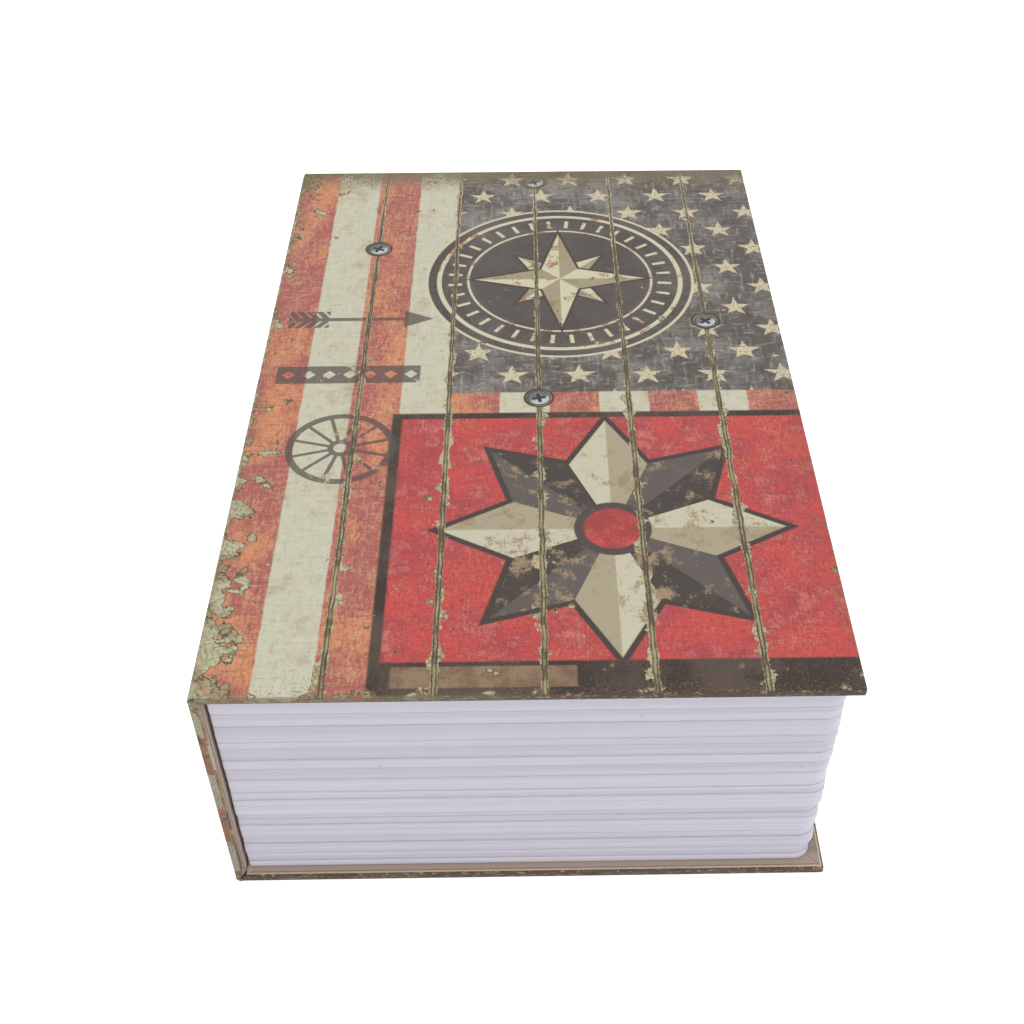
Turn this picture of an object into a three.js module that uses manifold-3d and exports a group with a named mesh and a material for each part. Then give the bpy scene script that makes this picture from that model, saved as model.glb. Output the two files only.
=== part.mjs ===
// Book diversion safe: a steel lock box inside a moulded page block, hidden in a hard book cover.
// Millimetres, +Z up. The closed book lies on its back cover, centred on the origin. The spine is
// at -X, the fore edge at +X, the tail edge at -Y and the head edge at +Y.
import * as THREE from "three";
import { mergeVertices } from "three/addons/utils/BufferGeometryUtils.js";
import Module from "manifold-3d";

const wasm = await Module();
wasm.setup();

// Closed book
const coverWidth = 115;
const coverLength = 180;
const bookThickness = 55;

// Clearances, the weld that joins two vertices, and one overrun for every cut
const glueLine = 0.05;
const seatGap = 0.1;
const holeClearance = 0.15;
const vertexWeld = 0.0005;
const overrun = 1;

// Case: three boards in one printed paper, lined with endpapers
const boardThickness = 1.3;
const coverPaperThickness = 0.2;
const endPaperThickness = 0.15;
const turnInWidth = 12;
const endPaperInset = 0.9;
const boardCornerRadius = 0.9;
const foldRadius = 0.5;
const mitreGap = 0.15;
const foldBevel = 1.2;

// Page block: moulded shell whose outside copies gathered leaves
const blockSpineGap = 0.4;
const blockCoverGap = 0.6;
const tailInset = 2.3;
const foreEdgeInset = 3.35;
const foreEdgeDraft = 0.45;
const leafStep = 0.45;
const leafGroove = 0.22;
const leafCornerRadius = 3.2;
const blockBackRadius = 0.8;
const blockWall = 2.2;
const deckThickness = 2;
const spineRim = 5.1;
const foreEdgeRim = 5;
const tailRim = 5.7;
const wellCornerRadius = 5;
const wellHingeCornerRadius = 2;
const collarThickness = 1.6;
const ledgeThickness = 1.8;
const ledgeGap = 0.5;
const troughGap = 0.5;
const ribThickness = 1.2;
const bossRadius = 2.8;
const basePlateThickness = 2;
const basePlateGap = 0.3;
const basePlateEdge = 0.7;
const sideRibCount = 5;
const endRibCount = 3;
const lipShare = 0.22;
const leanShare = 0.9;

// Gatherings of leaves, from the lowest up: the shares of the stack that each takes, and how far
// each stands out as a share of the step
const gatheringHeightShares = [
  1.6, 2.1, 0.8, 2.3, 0.8, 1.9, 2.5, 1.7, 1.7, 1.4, 3.1, 1.6, 1.9, 3.9, 3.1, 2.7, 3.1, 1.9,
  4.3, 3.3, 4.3,
];
const gatheringStandShares = [
  0.3, 0.1, 0.4, 0.85, 0.5, 0.05, 0.6, 0.75, 0.4, 0.05, 1, 0.9, 0.7, 0.45, 0.6, 0.9, 0.8,
  0.95, 1, 0.8, 0.95,
];

// Self-tapping screws
const baseScrewRadius = 1.1;
const baseScrewHeadLip = 0.9;
const baseScrewHeadHeight = 1.4;
const baseScrewLength = 11;
const boxScrewRadius = 1.4;
const boxScrewHeadLip = 1.6;
const boxScrewHeadHeight = 1.5;
const boxScrewBossWall = 2.6;
const boxScrewBossHeight = 2;
const boxScrewInsetX = 16;
const boxScrewInsetY = 18;
const screwSlotWidth = 0.8;
const screwSlotDepth = 0.6;
const crownShare = 0.7;

// Steel box: pressed sheet with a rim flange on three sides
const boxSheet = 1;
const flangeWidth = 3.5;
const flangeGap = 0.4;
const hingeBay = 5;
const boxCornerRadius = 4;

// Lid: flat plate with a folded skirt on three sides
const lidSheet = 1;
const lidSeatGap = 0.2;
const lidEdgeGap = 0.6;
const skirtDepth = 4.5;
const skirtGap = 0.6;
const skirtEndInset = 5;

// Rolled hinge
const hingeRodRadius = 1.1;
const hingeRunningGap = 0.1;
const hingeNotchGap = 0.5;
const hingeLength = 140;
const knuckleCount = 7;
const knuckleGap = 0.5;
const knuckleRelief = 0.3;
const curlSlit = 0.35;
const rodEndProud = 0.8;

// Cam lock
const lockFromForeEdge = 15;
const lockHeadLip = 2;
const lockHeadHeight = 1.5;
const lockHeadChamfer = 0.6;
const lockHeadClearance = 0.9;
const barrelWall = 2.6;
const barrelFlatDepth = 0.9;
const barrelLength = 13;
const barrelHoleGap = 0.2;
const nutWall = 1.5;
const nutThickness = 2.6;
const nutSides = 6;
const plugRadius = 4.4;
const plugHeadLip = 1;
const plugHeadHeight = 1.1;
const plugRecess = 0.2;
const plugRunningGap = 0.1;
const keywayWidth = 1.5;
const keywayWall = 1.1;
const keywayDepth = 11;
const tailSide = 4.6;
const camThickness = 1.5;
const camWallGap = 1.6;
const camTipRadius = 3.6;
const camHubWall = 1.7;
const camScrewRadius = 1.3;
const camScrewLength = 4.5;
const camScrewHeadLip = 1.7;
const camScrewHeadHeight = 1.6;
const strikeSheet = 1;
const strikeWidth = 18;
const strikeLap = 3.8;
const strikeCamGap = 0.4;
const strikeHeight = 6.6;

// Facets
const roundSegments = 32;
const smallRoundSegments = 20;
const cornerSegments = 3;
const leafCornerSegments = 2;
const foldSegments = 2;

// Places that several pieces share
const halfWidth = coverWidth / 2;
const halfLength = coverLength / 2;
const boardBottom = coverPaperThickness + 2 * glueLine + boardThickness;
const caseThickness = boardBottom + coverPaperThickness + glueLine + endPaperThickness;
const coverInside = bookThickness - caseThickness;
const blockLeft = -halfWidth + caseThickness + blockSpineGap;
const blockRight = halfWidth - foreEdgeInset;
const blockHalfLength = halfLength - tailInset;
const blockBottom = caseThickness + glueLine;
const blockTop = coverInside - blockCoverGap;
const deckBottom = blockTop - deckThickness;
const wellLeft = blockLeft + spineRim;
const wellRight = blockRight - foreEdgeRim;
const wellHalfLength = blockHalfLength - tailRim;
const boxLeft = wellLeft + hingeBay;
const boxRight = wellRight - flangeGap - flangeWidth;
const boxHalfLength = wellHalfLength - flangeGap - flangeWidth;
const lidTop = coverInside - lockHeadClearance - lockHeadHeight - seatGap;
const lidBottom = lidTop - lidSheet;
const flangeTop = lidBottom - lidSeatGap;
const ledgeTop = flangeTop - boxSheet - seatGap;
const ledgeBottom = ledgeTop - ledgeThickness;
const basePlateTop = blockBottom + basePlateThickness;
const ribBottom = basePlateTop + seatGap;
const boxBottom = basePlateTop + boxScrewBossHeight + seatGap;
const boxFloorTop = boxBottom + boxSheet;
const hingeBoreRadius = hingeRodRadius + hingeRunningGap;
const boxCurlRadius = hingeBoreRadius + boxSheet;
const lidCurlRadius = hingeBoreRadius + lidSheet;
const widestCurl = Math.max(boxCurlRadius, lidCurlRadius);
const hingeX = boxLeft + boxSheet - boxCurlRadius;
const hingeZ = lidTop - lidCurlRadius;
const hingeWallTop = hingeZ - widestCurl - knuckleRelief;
const troughTop = hingeZ - widestCurl - troughGap;
const troughBottom = troughTop - ledgeThickness;
const lidLeft = hingeX + widestCurl + hingeNotchGap;
const lockX = boxRight - lockFromForeEdge;
const barrelRadius = plugRadius + barrelWall;
const barrelEnd = lidTop + seatGap - barrelLength;
const camTop = barrelEnd - seatGap;
const camBottom = camTop - camThickness;

// Outlines

function polygon(points) {
  return new THREE.Shape(points.map(([x, y]) => new THREE.Vector2(x, y)));
}

function rectangle(left, low, right, high) {
  return polygon([
    [left, low],
    [right, low],
    [right, high],
    [left, high],
  ]);
}

function roundedRect(left, low, right, high, leftRadius, rightRadius = leftRadius) {
  const shape = new THREE.Shape();
  shape.absarc(right - rightRadius, low + rightRadius, rightRadius, -Math.PI / 2, 0);
  shape.absarc(right - rightRadius, high - rightRadius, rightRadius, 0, Math.PI / 2);
  shape.absarc(left + leftRadius, high - leftRadius, leftRadius, Math.PI / 2, Math.PI);
  shape.absarc(left + leftRadius, low + leftRadius, leftRadius, Math.PI, 1.5 * Math.PI);
  return shape;
}

// Solids

// A closed geometry as a solid that can be joined and cut.
function solid(geometry) {
  const bare = new THREE.BufferGeometry();
  bare.setAttribute("position", geometry.getAttribute("position"));
  bare.setIndex(geometry.getIndex());
  const merged = mergeVertices(bare, vertexWeld);
  return new wasm.Manifold(
    new wasm.Mesh({
      numProp: 3,
      vertProperties: merged.getAttribute("position").array,
      triVerts: new Uint32Array(merged.getIndex().array),
    }),
  );
}

// A flat outline drawn in XY, made solid from one height to another.
function upright(shape, bottom, top, curveSegments = cornerSegments) {
  const geometry = new THREE.ExtrudeGeometry(shape, {
    depth: top - bottom,
    bevelEnabled: false,
    curveSegments,
  });
  return solid(geometry.translate(0, 0, bottom));
}

// The same with its long edges rounded over, as a sheet is where it folds round a board.
function folded(shape, bottom, top, radius) {
  const geometry = new THREE.ExtrudeGeometry(shape, {
    depth: top - bottom - 2 * radius,
    bevelThickness: radius,
    bevelSize: radius,
    bevelOffset: -radius,
    bevelSegments: foldSegments,
    curveSegments: leafCornerSegments,
  });
  return solid(geometry.translate(0, 0, bottom + radius));
}

// An outline drawn in XZ, made solid along Y.
function alongY(shape, start, end, curveSegments = cornerSegments) {
  const geometry = new THREE.ExtrudeGeometry(shape, {
    depth: end - start,
    bevelEnabled: false,
    curveSegments,
  });
  return solid(geometry.rotateX(Math.PI / 2).translate(0, end, 0));
}

function rodAlongY(radius, start, end) {
  const circle = new THREE.Shape();
  circle.absarc(0, 0, radius, 0, 2 * Math.PI);
  return alongY(circle, start, end, smallRoundSegments / 2);
}

// A profile of [radius, height] points, from the lowest up, turned about a vertical axis.
function turned(profile, segments = roundSegments) {
  const points = profile.map(([radius, height]) => new THREE.Vector2(radius, height));
  return solid(new THREE.LatheGeometry(points, segments).rotateX(Math.PI / 2));
}

function cylinder(radius, bottom, top, segments = roundSegments) {
  const profile = [
    [0, bottom],
    [radius, bottom],
    [radius, top],
    [0, top],
  ];
  return turned(profile, segments);
}

// The places of four like pieces: both xs at -y and at +y.
function fourPlaces(xs, y) {
  return xs.flatMap((x) => [
    [x, -y],
    [x, y],
  ]);
}

// A finished piece: its name, its solid and its material.
function piece(name, made, material) {
  const { vertProperties, triVerts } = made.getMesh();
  const geometry = new THREE.BufferGeometry();
  geometry.setAttribute("position", new THREE.BufferAttribute(vertProperties, 3));
  geometry.setIndex(new THREE.BufferAttribute(triVerts, 1));
  const shown = new THREE.Mesh(geometry, material);
  shown.name = name;
  return shown;
}

function finish(color, roughness, metalness = 0) {
  return new THREE.MeshStandardMaterial({ color, roughness, metalness });
}

const greyboard = finish(0x9a938a, 0.95);
const printedPaper = finish(0xb8624a, 0.6);
const taupePaper = finish(0x9b8a80, 0.85);
const pageWhite = finish(0xeceaf2, 0.45);
const plainPlastic = finish(0xd9d7de, 0.55);
const blackPaint = finish(0x25262a, 0.4, 0.3);
const zincSteel = finish(0xb9bcc0, 0.35, 0.9);
const chromePlate = finish(0xd8dadd, 0.15, 1);

// Case panels. Each is drawn with its hinge line on the Y axis, its printed face at z = 0 and its
// thickness below, reaching to x = width. The hinge edges are mitred inside, so that two panels
// fold square, and bevelled outside, where the paper rounds over from one panel to the next.

function mitred(made, width, bothEnds) {
  const reach = caseThickness + overrun;
  const bevelDepth = (foldBevel - mitreGap) / 2;
  const wedge = [
    [-2 * overrun, overrun],
    [foldBevel + overrun, overrun],
    [mitreGap + bevelDepth, -bevelDepth],
    [mitreGap + reach, -reach],
    [-2 * overrun, -reach],
  ];
  const mirrored = wedge.map(([x, z]) => [width - x, z]).reverse();
  const cut = made.subtract(alongY(polygon(wedge), -coverLength, coverLength));
  if (!bothEnds) return cut;
  return cut.subtract(alongY(polygon(mirrored), -coverLength, coverLength));
}

function panelOutline(width, inset, isSpine) {
  const half = halfLength - inset;
  const radius = boardCornerRadius - inset;
  if (isSpine) return rectangle(-overrun, -half, width + overrun, half);
  return roundedRect(-overrun, -half, width - inset, half, radius);
}

function panelBoard(width, isSpine) {
  const inset = coverPaperThickness + glueLine;
  const outline = panelOutline(width, inset, isSpine);
  const slab = folded(outline, -inset - boardThickness, -inset, foldRadius - inset);
  return mitred(slab, width, isSpine);
}

function panelPaper(width, isSpine) {
  const bottom = -boardBottom - coverPaperThickness;
  const wrapped = folded(panelOutline(width, 0, isSpine), bottom, 0, foldRadius);
  const room = folded(
    panelOutline(width, coverPaperThickness, isSpine),
    -boardBottom,
    -coverPaperThickness,
    foldRadius - coverPaperThickness,
  );
  const windowEnd = isSpine ? width + 2 * overrun : width - turnInWidth;
  const halfWindow = halfLength - turnInWidth;
  const windowShape = rectangle(-2 * overrun, -halfWindow, windowEnd, halfWindow);
  const window = upright(
    windowShape,
    bottom - overrun,
    -boardBottom + coverPaperThickness,
  );
  return mitred(wrapped.subtract(room).subtract(window), width, isSpine);
}

function panelLining(width, isSpine) {
  const hingeInset = caseThickness + mitreGap + glueLine;
  const farInset = isSpine ? hingeInset : endPaperInset;
  const half = halfLength - endPaperInset;
  const shape = rectangle(hingeInset, -half, width - farInset, half);
  return upright(shape, -caseThickness, -caseThickness + endPaperThickness);
}

function casePanel(name, liningName, width, isSpine) {
  const panel = new THREE.Group();
  panel.add(
    piece(name + "_board", panelBoard(width, isSpine), greyboard),
    piece(name + "_cover_paper", panelPaper(width, isSpine), printedPaper),
    piece(liningName, panelLining(width, isSpine), taupePaper),
  );
  return panel;
}

function bookCase() {
  const front = casePanel("front", "front_endpaper", coverWidth, false);
  front.position.set(-halfWidth, 0, bookThickness);
  const spine = casePanel("spine", "spine_lining", bookThickness, true);
  spine.position.set(-halfWidth, 0, 0);
  spine.rotation.y = -Math.PI / 2;
  const back = casePanel("back", "back_endpaper", coverWidth, false);
  back.position.set(-halfWidth, 0, 0);
  back.rotation.x = Math.PI;
  return [front, spine, back];
}

// Page block. Its outside is a loft through level outlines. Each gathering of leaves starts in a
// groove, swells to its lower lip and leans back, and no two neighbours stand out alike.

function gatheringHeights() {
  const sum = gatheringHeightShares.reduce((total, share) => total + share, 0);
  return gatheringHeightShares.map((share) => (share / sum) * (blockTop - blockBottom));
}

// Heights up the stack, each with how far the leaves stand out there.
function leafLevels() {
  const levels = [];
  let bottom = blockBottom;
  gatheringHeights().forEach((height, i) => {
    const stand = leafStep * gatheringStandShares[i];
    levels.push({ z: bottom, stand: stand - leafGroove });
    levels.push({ z: bottom + lipShare * height, stand: stand + leafGroove / 2 });
    levels.push({ z: bottom + leanShare * height, stand });
    bottom += height;
  });
  levels.push({ z: blockTop, stand: 0 });
  return levels;
}

function leafRing({ z, stand }) {
  const heightShare = (z - blockBottom) / (blockTop - blockBottom);
  const outline = roundedRect(
    blockLeft,
    -blockHalfLength - stand,
    blockRight + stand + foreEdgeDraft * heightShare,
    blockHalfLength + stand,
    blockBackRadius,
    leafCornerRadius,
  );
  const points = outline.getPoints(leafCornerSegments);
  return { z, points: points.slice(0, points[0].equals(points.at(-1)) ? -1 : undefined) };
}

// A closed skin through rings with the same number of points, with flat ends.
function loft(rings) {
  const count = rings[0].points.length;
  const positions = rings.flatMap(({ z, points }) => points.flatMap((p) => [p.x, p.y, z]));
  const indices = [];
  for (let level = 1; level < rings.length; level++) {
    for (let i = 0; i < count; i++) {
      const next = (i + 1) % count;
      const [a, b] = [(level - 1) * count + i, (level - 1) * count + next];
      indices.push(a, b, b + count, a, b + count, a + count);
    }
  }
  const top = (rings.length - 1) * count;
  for (const [i, j, k] of THREE.ShapeUtils.triangulateShape(rings[0].points, [])) {
    indices.push(k, j, i);
  }
  for (const [i, j, k] of THREE.ShapeUtils.triangulateShape(rings.at(-1).points, [])) {
    indices.push(top + i, top + j, top + k);
  }
  const geometry = new THREE.BufferGeometry();
  geometry.setAttribute("position", new THREE.Float32BufferAttribute(positions, 3));
  geometry.setIndex(indices);
  return solid(geometry);
}

function blockInside(inset) {
  return roundedRect(
    blockLeft + inset,
    -blockHalfLength + inset,
    blockRight - inset,
    blockHalfLength - inset,
    blockBackRadius,
    Math.max(leafCornerRadius - inset, blockBackRadius),
  );
}

function wellShape(grown) {
  return roundedRect(
    wellLeft - grown,
    -wellHalfLength - grown,
    wellRight + grown,
    wellHalfLength + grown,
    wellHingeCornerRadius + grown,
    wellCornerRadius + grown,
  );
}

// The screws stand inside the wall by their countersinks and the edge of the base plate.
function bossPlaces() {
  const sinkRadius = baseScrewRadius + baseScrewHeadLip + holeClearance;
  const inset = blockWall + basePlateGap + basePlateEdge + sinkRadius;
  return fourPlaces([blockLeft + inset, blockRight - inset], blockHalfLength - inset);
}

// Moulded trough under the rolled hinge, at the spine side of the steel box.
function hingeTrough() {
  const right = boxLeft - ledgeGap;
  const halfTrough = hingeLength / 2 + rodEndProud + troughGap;
  const outside = rectangle(
    wellLeft - collarThickness,
    -halfTrough - collarThickness,
    right,
    halfTrough + collarThickness,
  );
  const inside = rectangle(wellLeft, -halfTrough, right + overrun, halfTrough);
  return {
    body: upright(outside, troughBottom, ledgeTop),
    cut: upright(inside, troughTop, ledgeTop + overrun),
  };
}

// Upright ribs in the cavity, which centre the steel box and stiffen the walls.
function ribs() {
  const made = [];
  const half = ribThickness / 2;
  const wallMiddle = blockWall / 2;
  for (let i = 0; i < sideRibCount; i++) {
    const share = (i + 0.5) / sideRibCount;
    const y = (2 * share - 1) * boxHalfLength;
    const foreEdge = rectangle(boxRight + ledgeGap, y - half, blockRight - wallMiddle, y + half);
    const spine = rectangle(blockLeft + wallMiddle, y - half, boxLeft - ledgeGap, y + half);
    made.push(upright(foreEdge, ribBottom, ledgeTop));
    made.push(upright(spine, ribBottom, troughTop));
  }
  for (let i = 0; i < endRibCount; i++) {
    const share = (i + 0.5) / endRibCount;
    const x = boxLeft + share * (boxRight - boxLeft);
    const [near, far] = [boxHalfLength + ledgeGap, blockHalfLength - wallMiddle];
    made.push(upright(rectangle(x - half, near, x + half, far), ribBottom, ledgeTop));
    made.push(upright(rectangle(x - half, -far, x + half, -near), ribBottom, ledgeTop));
  }
  return made;
}

function pageBlock() {
  const cavity = upright(blockInside(blockWall), blockBottom - overrun, deckBottom);
  const collar = upright(wellShape(collarThickness), ledgeBottom, blockTop - seatGap);
  const well = upright(wellShape(0), ledgeTop, blockTop + overrun);
  const passageShape = roundedRect(
    boxLeft - ledgeGap,
    -boxHalfLength - ledgeGap,
    boxRight + ledgeGap,
    boxHalfLength + ledgeGap,
    boxCornerRadius,
  );
  const passage = upright(passageShape, troughBottom - overrun, ledgeTop + overrun);
  const trough = hingeTrough();
  const screwEnd = blockBottom + baseScrewLength;
  let made = leafStack().subtract(cavity).add(collar).add(trough.body);
  for (const rib of ribs()) made = made.add(rib);
  for (const [x, y] of bossPlaces()) {
    const boss = cylinder(bossRadius, ribBottom, blockTop - seatGap, smallRoundSegments);
    made = made.add(boss.translate(x, y, 0));
  }
  made = made.subtract(well).subtract(passage).subtract(trough.cut);
  for (const [x, y] of bossPlaces()) {
    const pilot = cylinder(
      baseScrewRadius + holeClearance,
      ribBottom - overrun,
      screwEnd + overrun,
      smallRoundSegments,
    );
    made = made.subtract(pilot.translate(x, y, 0));
  }
  return made;
}

function leafStack() {
  return loft(leafLevels().map(leafRing));
}

// Base plate, which closes the moulding and carries the steel box on four bosses

function boxScrewPlaces() {
  const xs = [boxLeft + boxScrewInsetX, boxRight - boxScrewInsetX];
  return fourPlaces(xs, boxHalfLength - boxScrewInsetY);
}

function basePlate() {
  const inset = blockWall + basePlateGap;
  let made = upright(blockInside(inset), blockBottom, basePlateTop);
  for (const [x, y] of boxScrewPlaces()) {
    const boss = cylinder(
      boxScrewRadius + boxScrewBossWall,
      blockBottom,
      basePlateTop + boxScrewBossHeight,
      smallRoundSegments,
    );
    const pilot = cylinder(
      boxScrewRadius + holeClearance,
      blockBottom - overrun,
      boxBottom + overrun,
      smallRoundSegments,
    );
    made = made.add(boss.translate(x, y, 0)).subtract(pilot.translate(x, y, 0));
  }
  for (const [x, y] of bossPlaces()) {
    made = made.subtract(countersunk(holeClearance).translate(x, y, 0));
  }
  return made;
}

// A countersunk screw's shape, or the hole for it where it is grown by a clearance.
function countersunk(grown) {
  const headBottom = blockBottom + (grown > 0 ? -overrun : glueLine);
  const headRadius = baseScrewRadius + baseScrewHeadLip + grown;
  const profile = [
    [0, headBottom],
    [headRadius, headBottom],
    [headRadius, blockBottom + 2 * glueLine + grown],
    [baseScrewRadius + grown, blockBottom + baseScrewHeadHeight + grown],
    [baseScrewRadius + grown, blockBottom + baseScrewLength + grown],
    [0, blockBottom + baseScrewLength + grown],
  ];
  return turned(profile, smallRoundSegments);
}

// The driver slot of a screw head, between two heights.
function screwSlot(headRadius, bottom, top) {
  const reach = headRadius + overrun;
  const half = screwSlotWidth / 2;
  return upright(rectangle(-reach, -half, reach, half), bottom, top);
}

function baseScrew() {
  const headRadius = baseScrewRadius + baseScrewHeadLip;
  const slotTop = blockBottom + glueLine + screwSlotDepth;
  return countersunk(0).subtract(screwSlot(headRadius, blockBottom - overrun, slotTop));
}

function boxScrew() {
  const seat = boxFloorTop + seatGap;
  const headTop = seat + boxScrewHeadHeight;
  const headRadius = boxScrewRadius + boxScrewHeadLip;
  const shankEnd = blockBottom + glueLine;
  const profile = [
    [0, shankEnd],
    [boxScrewRadius * crownShare, shankEnd],
    [boxScrewRadius, shankEnd + boxScrewRadius],
    [boxScrewRadius, seat],
    [headRadius, seat],
    [headRadius, seat + boxScrewHeadHeight / 2],
    [headRadius * crownShare, headTop],
    [0, headTop],
  ];
  const slot = screwSlot(headRadius, headTop - screwSlotDepth, headTop + overrun);
  return turned(profile, smallRoundSegments).subtract(slot);
}

// Rolled hinge: knuckles curled in turn from the box wall and from the lid, round one steel rod

// The [start, end] of every second knuckle along Y, counted from the given one.
function knuckleSpans(first) {
  const pitch = hingeLength / knuckleCount;
  const spans = [];
  for (let i = first; i < knuckleCount; i += 2) {
    const start = -hingeLength / 2 + i * pitch;
    spans.push([start + knuckleGap / 2, start + pitch - knuckleGap / 2]);
  }
  return spans;
}

function curl(radius, start, end) {
  return rodAlongY(radius, start, end).translate(hingeX, 0, hingeZ);
}

function hingeBore() {
  const reach = hingeLength / 2 + overrun;
  return curl(hingeBoreRadius, -reach, reach);
}

function hingeRod() {
  const reach = hingeLength / 2 + rodEndProud;
  return curl(hingeRodRadius, -reach, reach);
}

// Steel box

function boxOutline(grown) {
  return roundedRect(
    boxLeft - grown,
    -boxHalfLength - grown,
    boxRight + grown,
    boxHalfLength + grown,
    boxCornerRadius + grown,
  );
}

// Knuckles rolled outward from the top of the spine-side wall. Each free end stops short of it.
function boxKnuckles() {
  const wallFace = boxLeft + boxSheet;
  const leaf = rectangle(boxLeft, hingeWallTop - overrun, wallFace, hingeZ);
  const slit = rectangle(
    boxLeft - curlSlit,
    hingeZ - boxCurlRadius - overrun,
    boxLeft,
    hingeZ - hingeRodRadius / 2,
  );
  return knuckleSpans(0).map(([start, end]) => {
    const rolled = curl(boxCurlRadius, start, end);
    return rolled.subtract(alongY(slit, start - overrun, end + overrun)).add(
      alongY(leaf, start, end),
    );
  });
}

function lockBox() {
  const walls = upright(boxOutline(0), boxBottom, flangeTop);
  const inside = upright(boxOutline(-boxSheet), boxFloorTop, flangeTop + overrun);
  const rim = upright(boxOutline(flangeWidth), flangeTop - boxSheet, flangeTop);
  const reach = boxHalfLength + flangeWidth + overrun;
  const spineSide = upright(
    rectangle(
      boxLeft - flangeWidth - overrun,
      -reach,
      boxLeft + boxCornerRadius,
      reach,
    ),
    flangeTop - boxSheet - overrun,
    flangeTop + overrun,
  );
  const halfOpening = hingeLength / 2 + knuckleGap;
  const opening = upright(
    rectangle(
      boxLeft - overrun,
      -halfOpening,
      boxLeft + boxSheet + overrun,
      halfOpening,
    ),
    hingeWallTop,
    flangeTop + overrun,
  );
  let made = walls.add(rim.subtract(spineSide)).subtract(inside).subtract(opening);
  for (const knuckle of boxKnuckles()) made = made.add(knuckle);
  made = made.subtract(hingeBore());
  for (const [x, y] of boxScrewPlaces()) {
    const hole = cylinder(
      boxScrewRadius + holeClearance,
      boxBottom - overrun,
      boxFloorTop + overrun,
      smallRoundSegments,
    );
    made = made.subtract(hole.translate(x, y, 0));
  }
  return made;
}

// Angle welded inside the fore-edge wall, which the cam turns under.
function strikeBracket() {
  const back = boxRight - boxSheet - glueLine;
  const front = boxRight - boxSheet - camWallGap - strikeLap;
  const low = camTop + strikeCamGap;
  const profile = polygon([
    [front, low],
    [back, low],
    [back, low + strikeHeight],
    [back - strikeSheet, low + strikeHeight],
    [back - strikeSheet, low + strikeSheet],
    [front, low + strikeSheet],
  ]);
  return alongY(profile, -strikeWidth / 2, strikeWidth / 2);
}

// Lid

// The double-flatted section of the lock barrel, also cut in the lid so that the lock can't turn.
function barrelSection(grown) {
  const radius = barrelRadius + grown;
  const angle = Math.asin((barrelRadius - barrelFlatDepth + grown) / radius);
  const shape = new THREE.Shape();
  shape.absarc(0, 0, radius, -angle, angle);
  shape.absarc(0, 0, radius, Math.PI - angle, Math.PI + angle);
  return shape;
}

// Knuckles whose leaf runs on level from the lid and curls down round the rod.
function lidKnuckles() {
  const leafBottom = lidTop - lidSheet;
  const leaf = rectangle(hingeX, leafBottom, lidLeft + overrun, lidTop);
  const slit = rectangle(
    hingeX + hingeRodRadius / 2,
    leafBottom - curlSlit,
    hingeX + lidCurlRadius + overrun,
    leafBottom,
  );
  return knuckleSpans(1).map(([start, end]) => {
    const rolled = curl(lidCurlRadius, start, end);
    return rolled.subtract(alongY(slit, start - overrun, end + overrun)).add(
      alongY(leaf, start, end),
    );
  });
}

function lid() {
  const halfLid = wellHalfLength - lidEdgeGap;
  const plateShape = roundedRect(
    lidLeft,
    -halfLid,
    wellRight - lidEdgeGap,
    halfLid,
    lidSheet,
    wellCornerRadius - lidEdgeGap,
  );
  const skirtBottom = lidBottom - skirtDepth;
  const outside = boxOutline(-boxSheet - skirtGap);
  const inside = boxOutline(-boxSheet - skirtGap - lidSheet);
  const openSide = rectangle(
    boxLeft - overrun,
    -boxHalfLength,
    lidLeft + skirtEndInset,
    boxHalfLength,
  );
  const skirt = upright(outside, skirtBottom, lidTop - lidSheet / 2)
    .subtract(upright(inside, skirtBottom - overrun, lidBottom))
    .subtract(upright(openSide, skirtBottom - overrun, lidBottom));
  let made = upright(plateShape, lidBottom, lidTop).add(skirt);
  for (const knuckle of lidKnuckles()) made = made.add(knuckle);
  const lockHole = upright(
    barrelSection(barrelHoleGap),
    lidBottom - overrun,
    lidTop + overrun,
    roundSegments / 4,
  );
  return made.subtract(hingeBore()).subtract(lockHole.translate(lockX, 0, 0));
}

// Cam lock, drawn about its own axis. The cam points to the tail when open, and a quarter turn
// brings it under the strike.

function lockBody() {
  const seat = lidTop + seatGap;
  const face = seat + lockHeadHeight;
  const headRadius = barrelRadius + lockHeadLip;
  const head = turned([
    [0, seat],
    [headRadius, seat],
    [headRadius, face - lockHeadChamfer],
    [headRadius - lockHeadChamfer, face],
    [0, face],
  ]);
  const barrel = upright(
    barrelSection(0),
    barrelEnd,
    seat + lockHeadHeight / 2,
    roundSegments / 4,
  );
  const boreRadius = plugRadius + plugRunningGap;
  const mouthRadius = boreRadius + plugHeadLip;
  const shoulder = face - plugRecess - plugHeadHeight - plugRunningGap;
  const bore = turned([
    [0, barrelEnd - overrun],
    [boreRadius, barrelEnd - overrun],
    [boreRadius, shoulder],
    [mouthRadius, shoulder],
    [mouthRadius, face + overrun],
    [0, face + overrun],
  ]);
  return head.add(barrel).subtract(bore);
}

function lockNut() {
  const top = lidBottom - seatGap;
  const bottom = top - nutThickness;
  const cornerRadius = (barrelRadius + nutWall) / Math.cos(Math.PI / nutSides);
  const bore = cylinder(barrelRadius + barrelHoleGap, bottom - overrun, top + overrun);
  return cylinder(cornerRadius, bottom, top, nutSides).subtract(bore);
}

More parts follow.
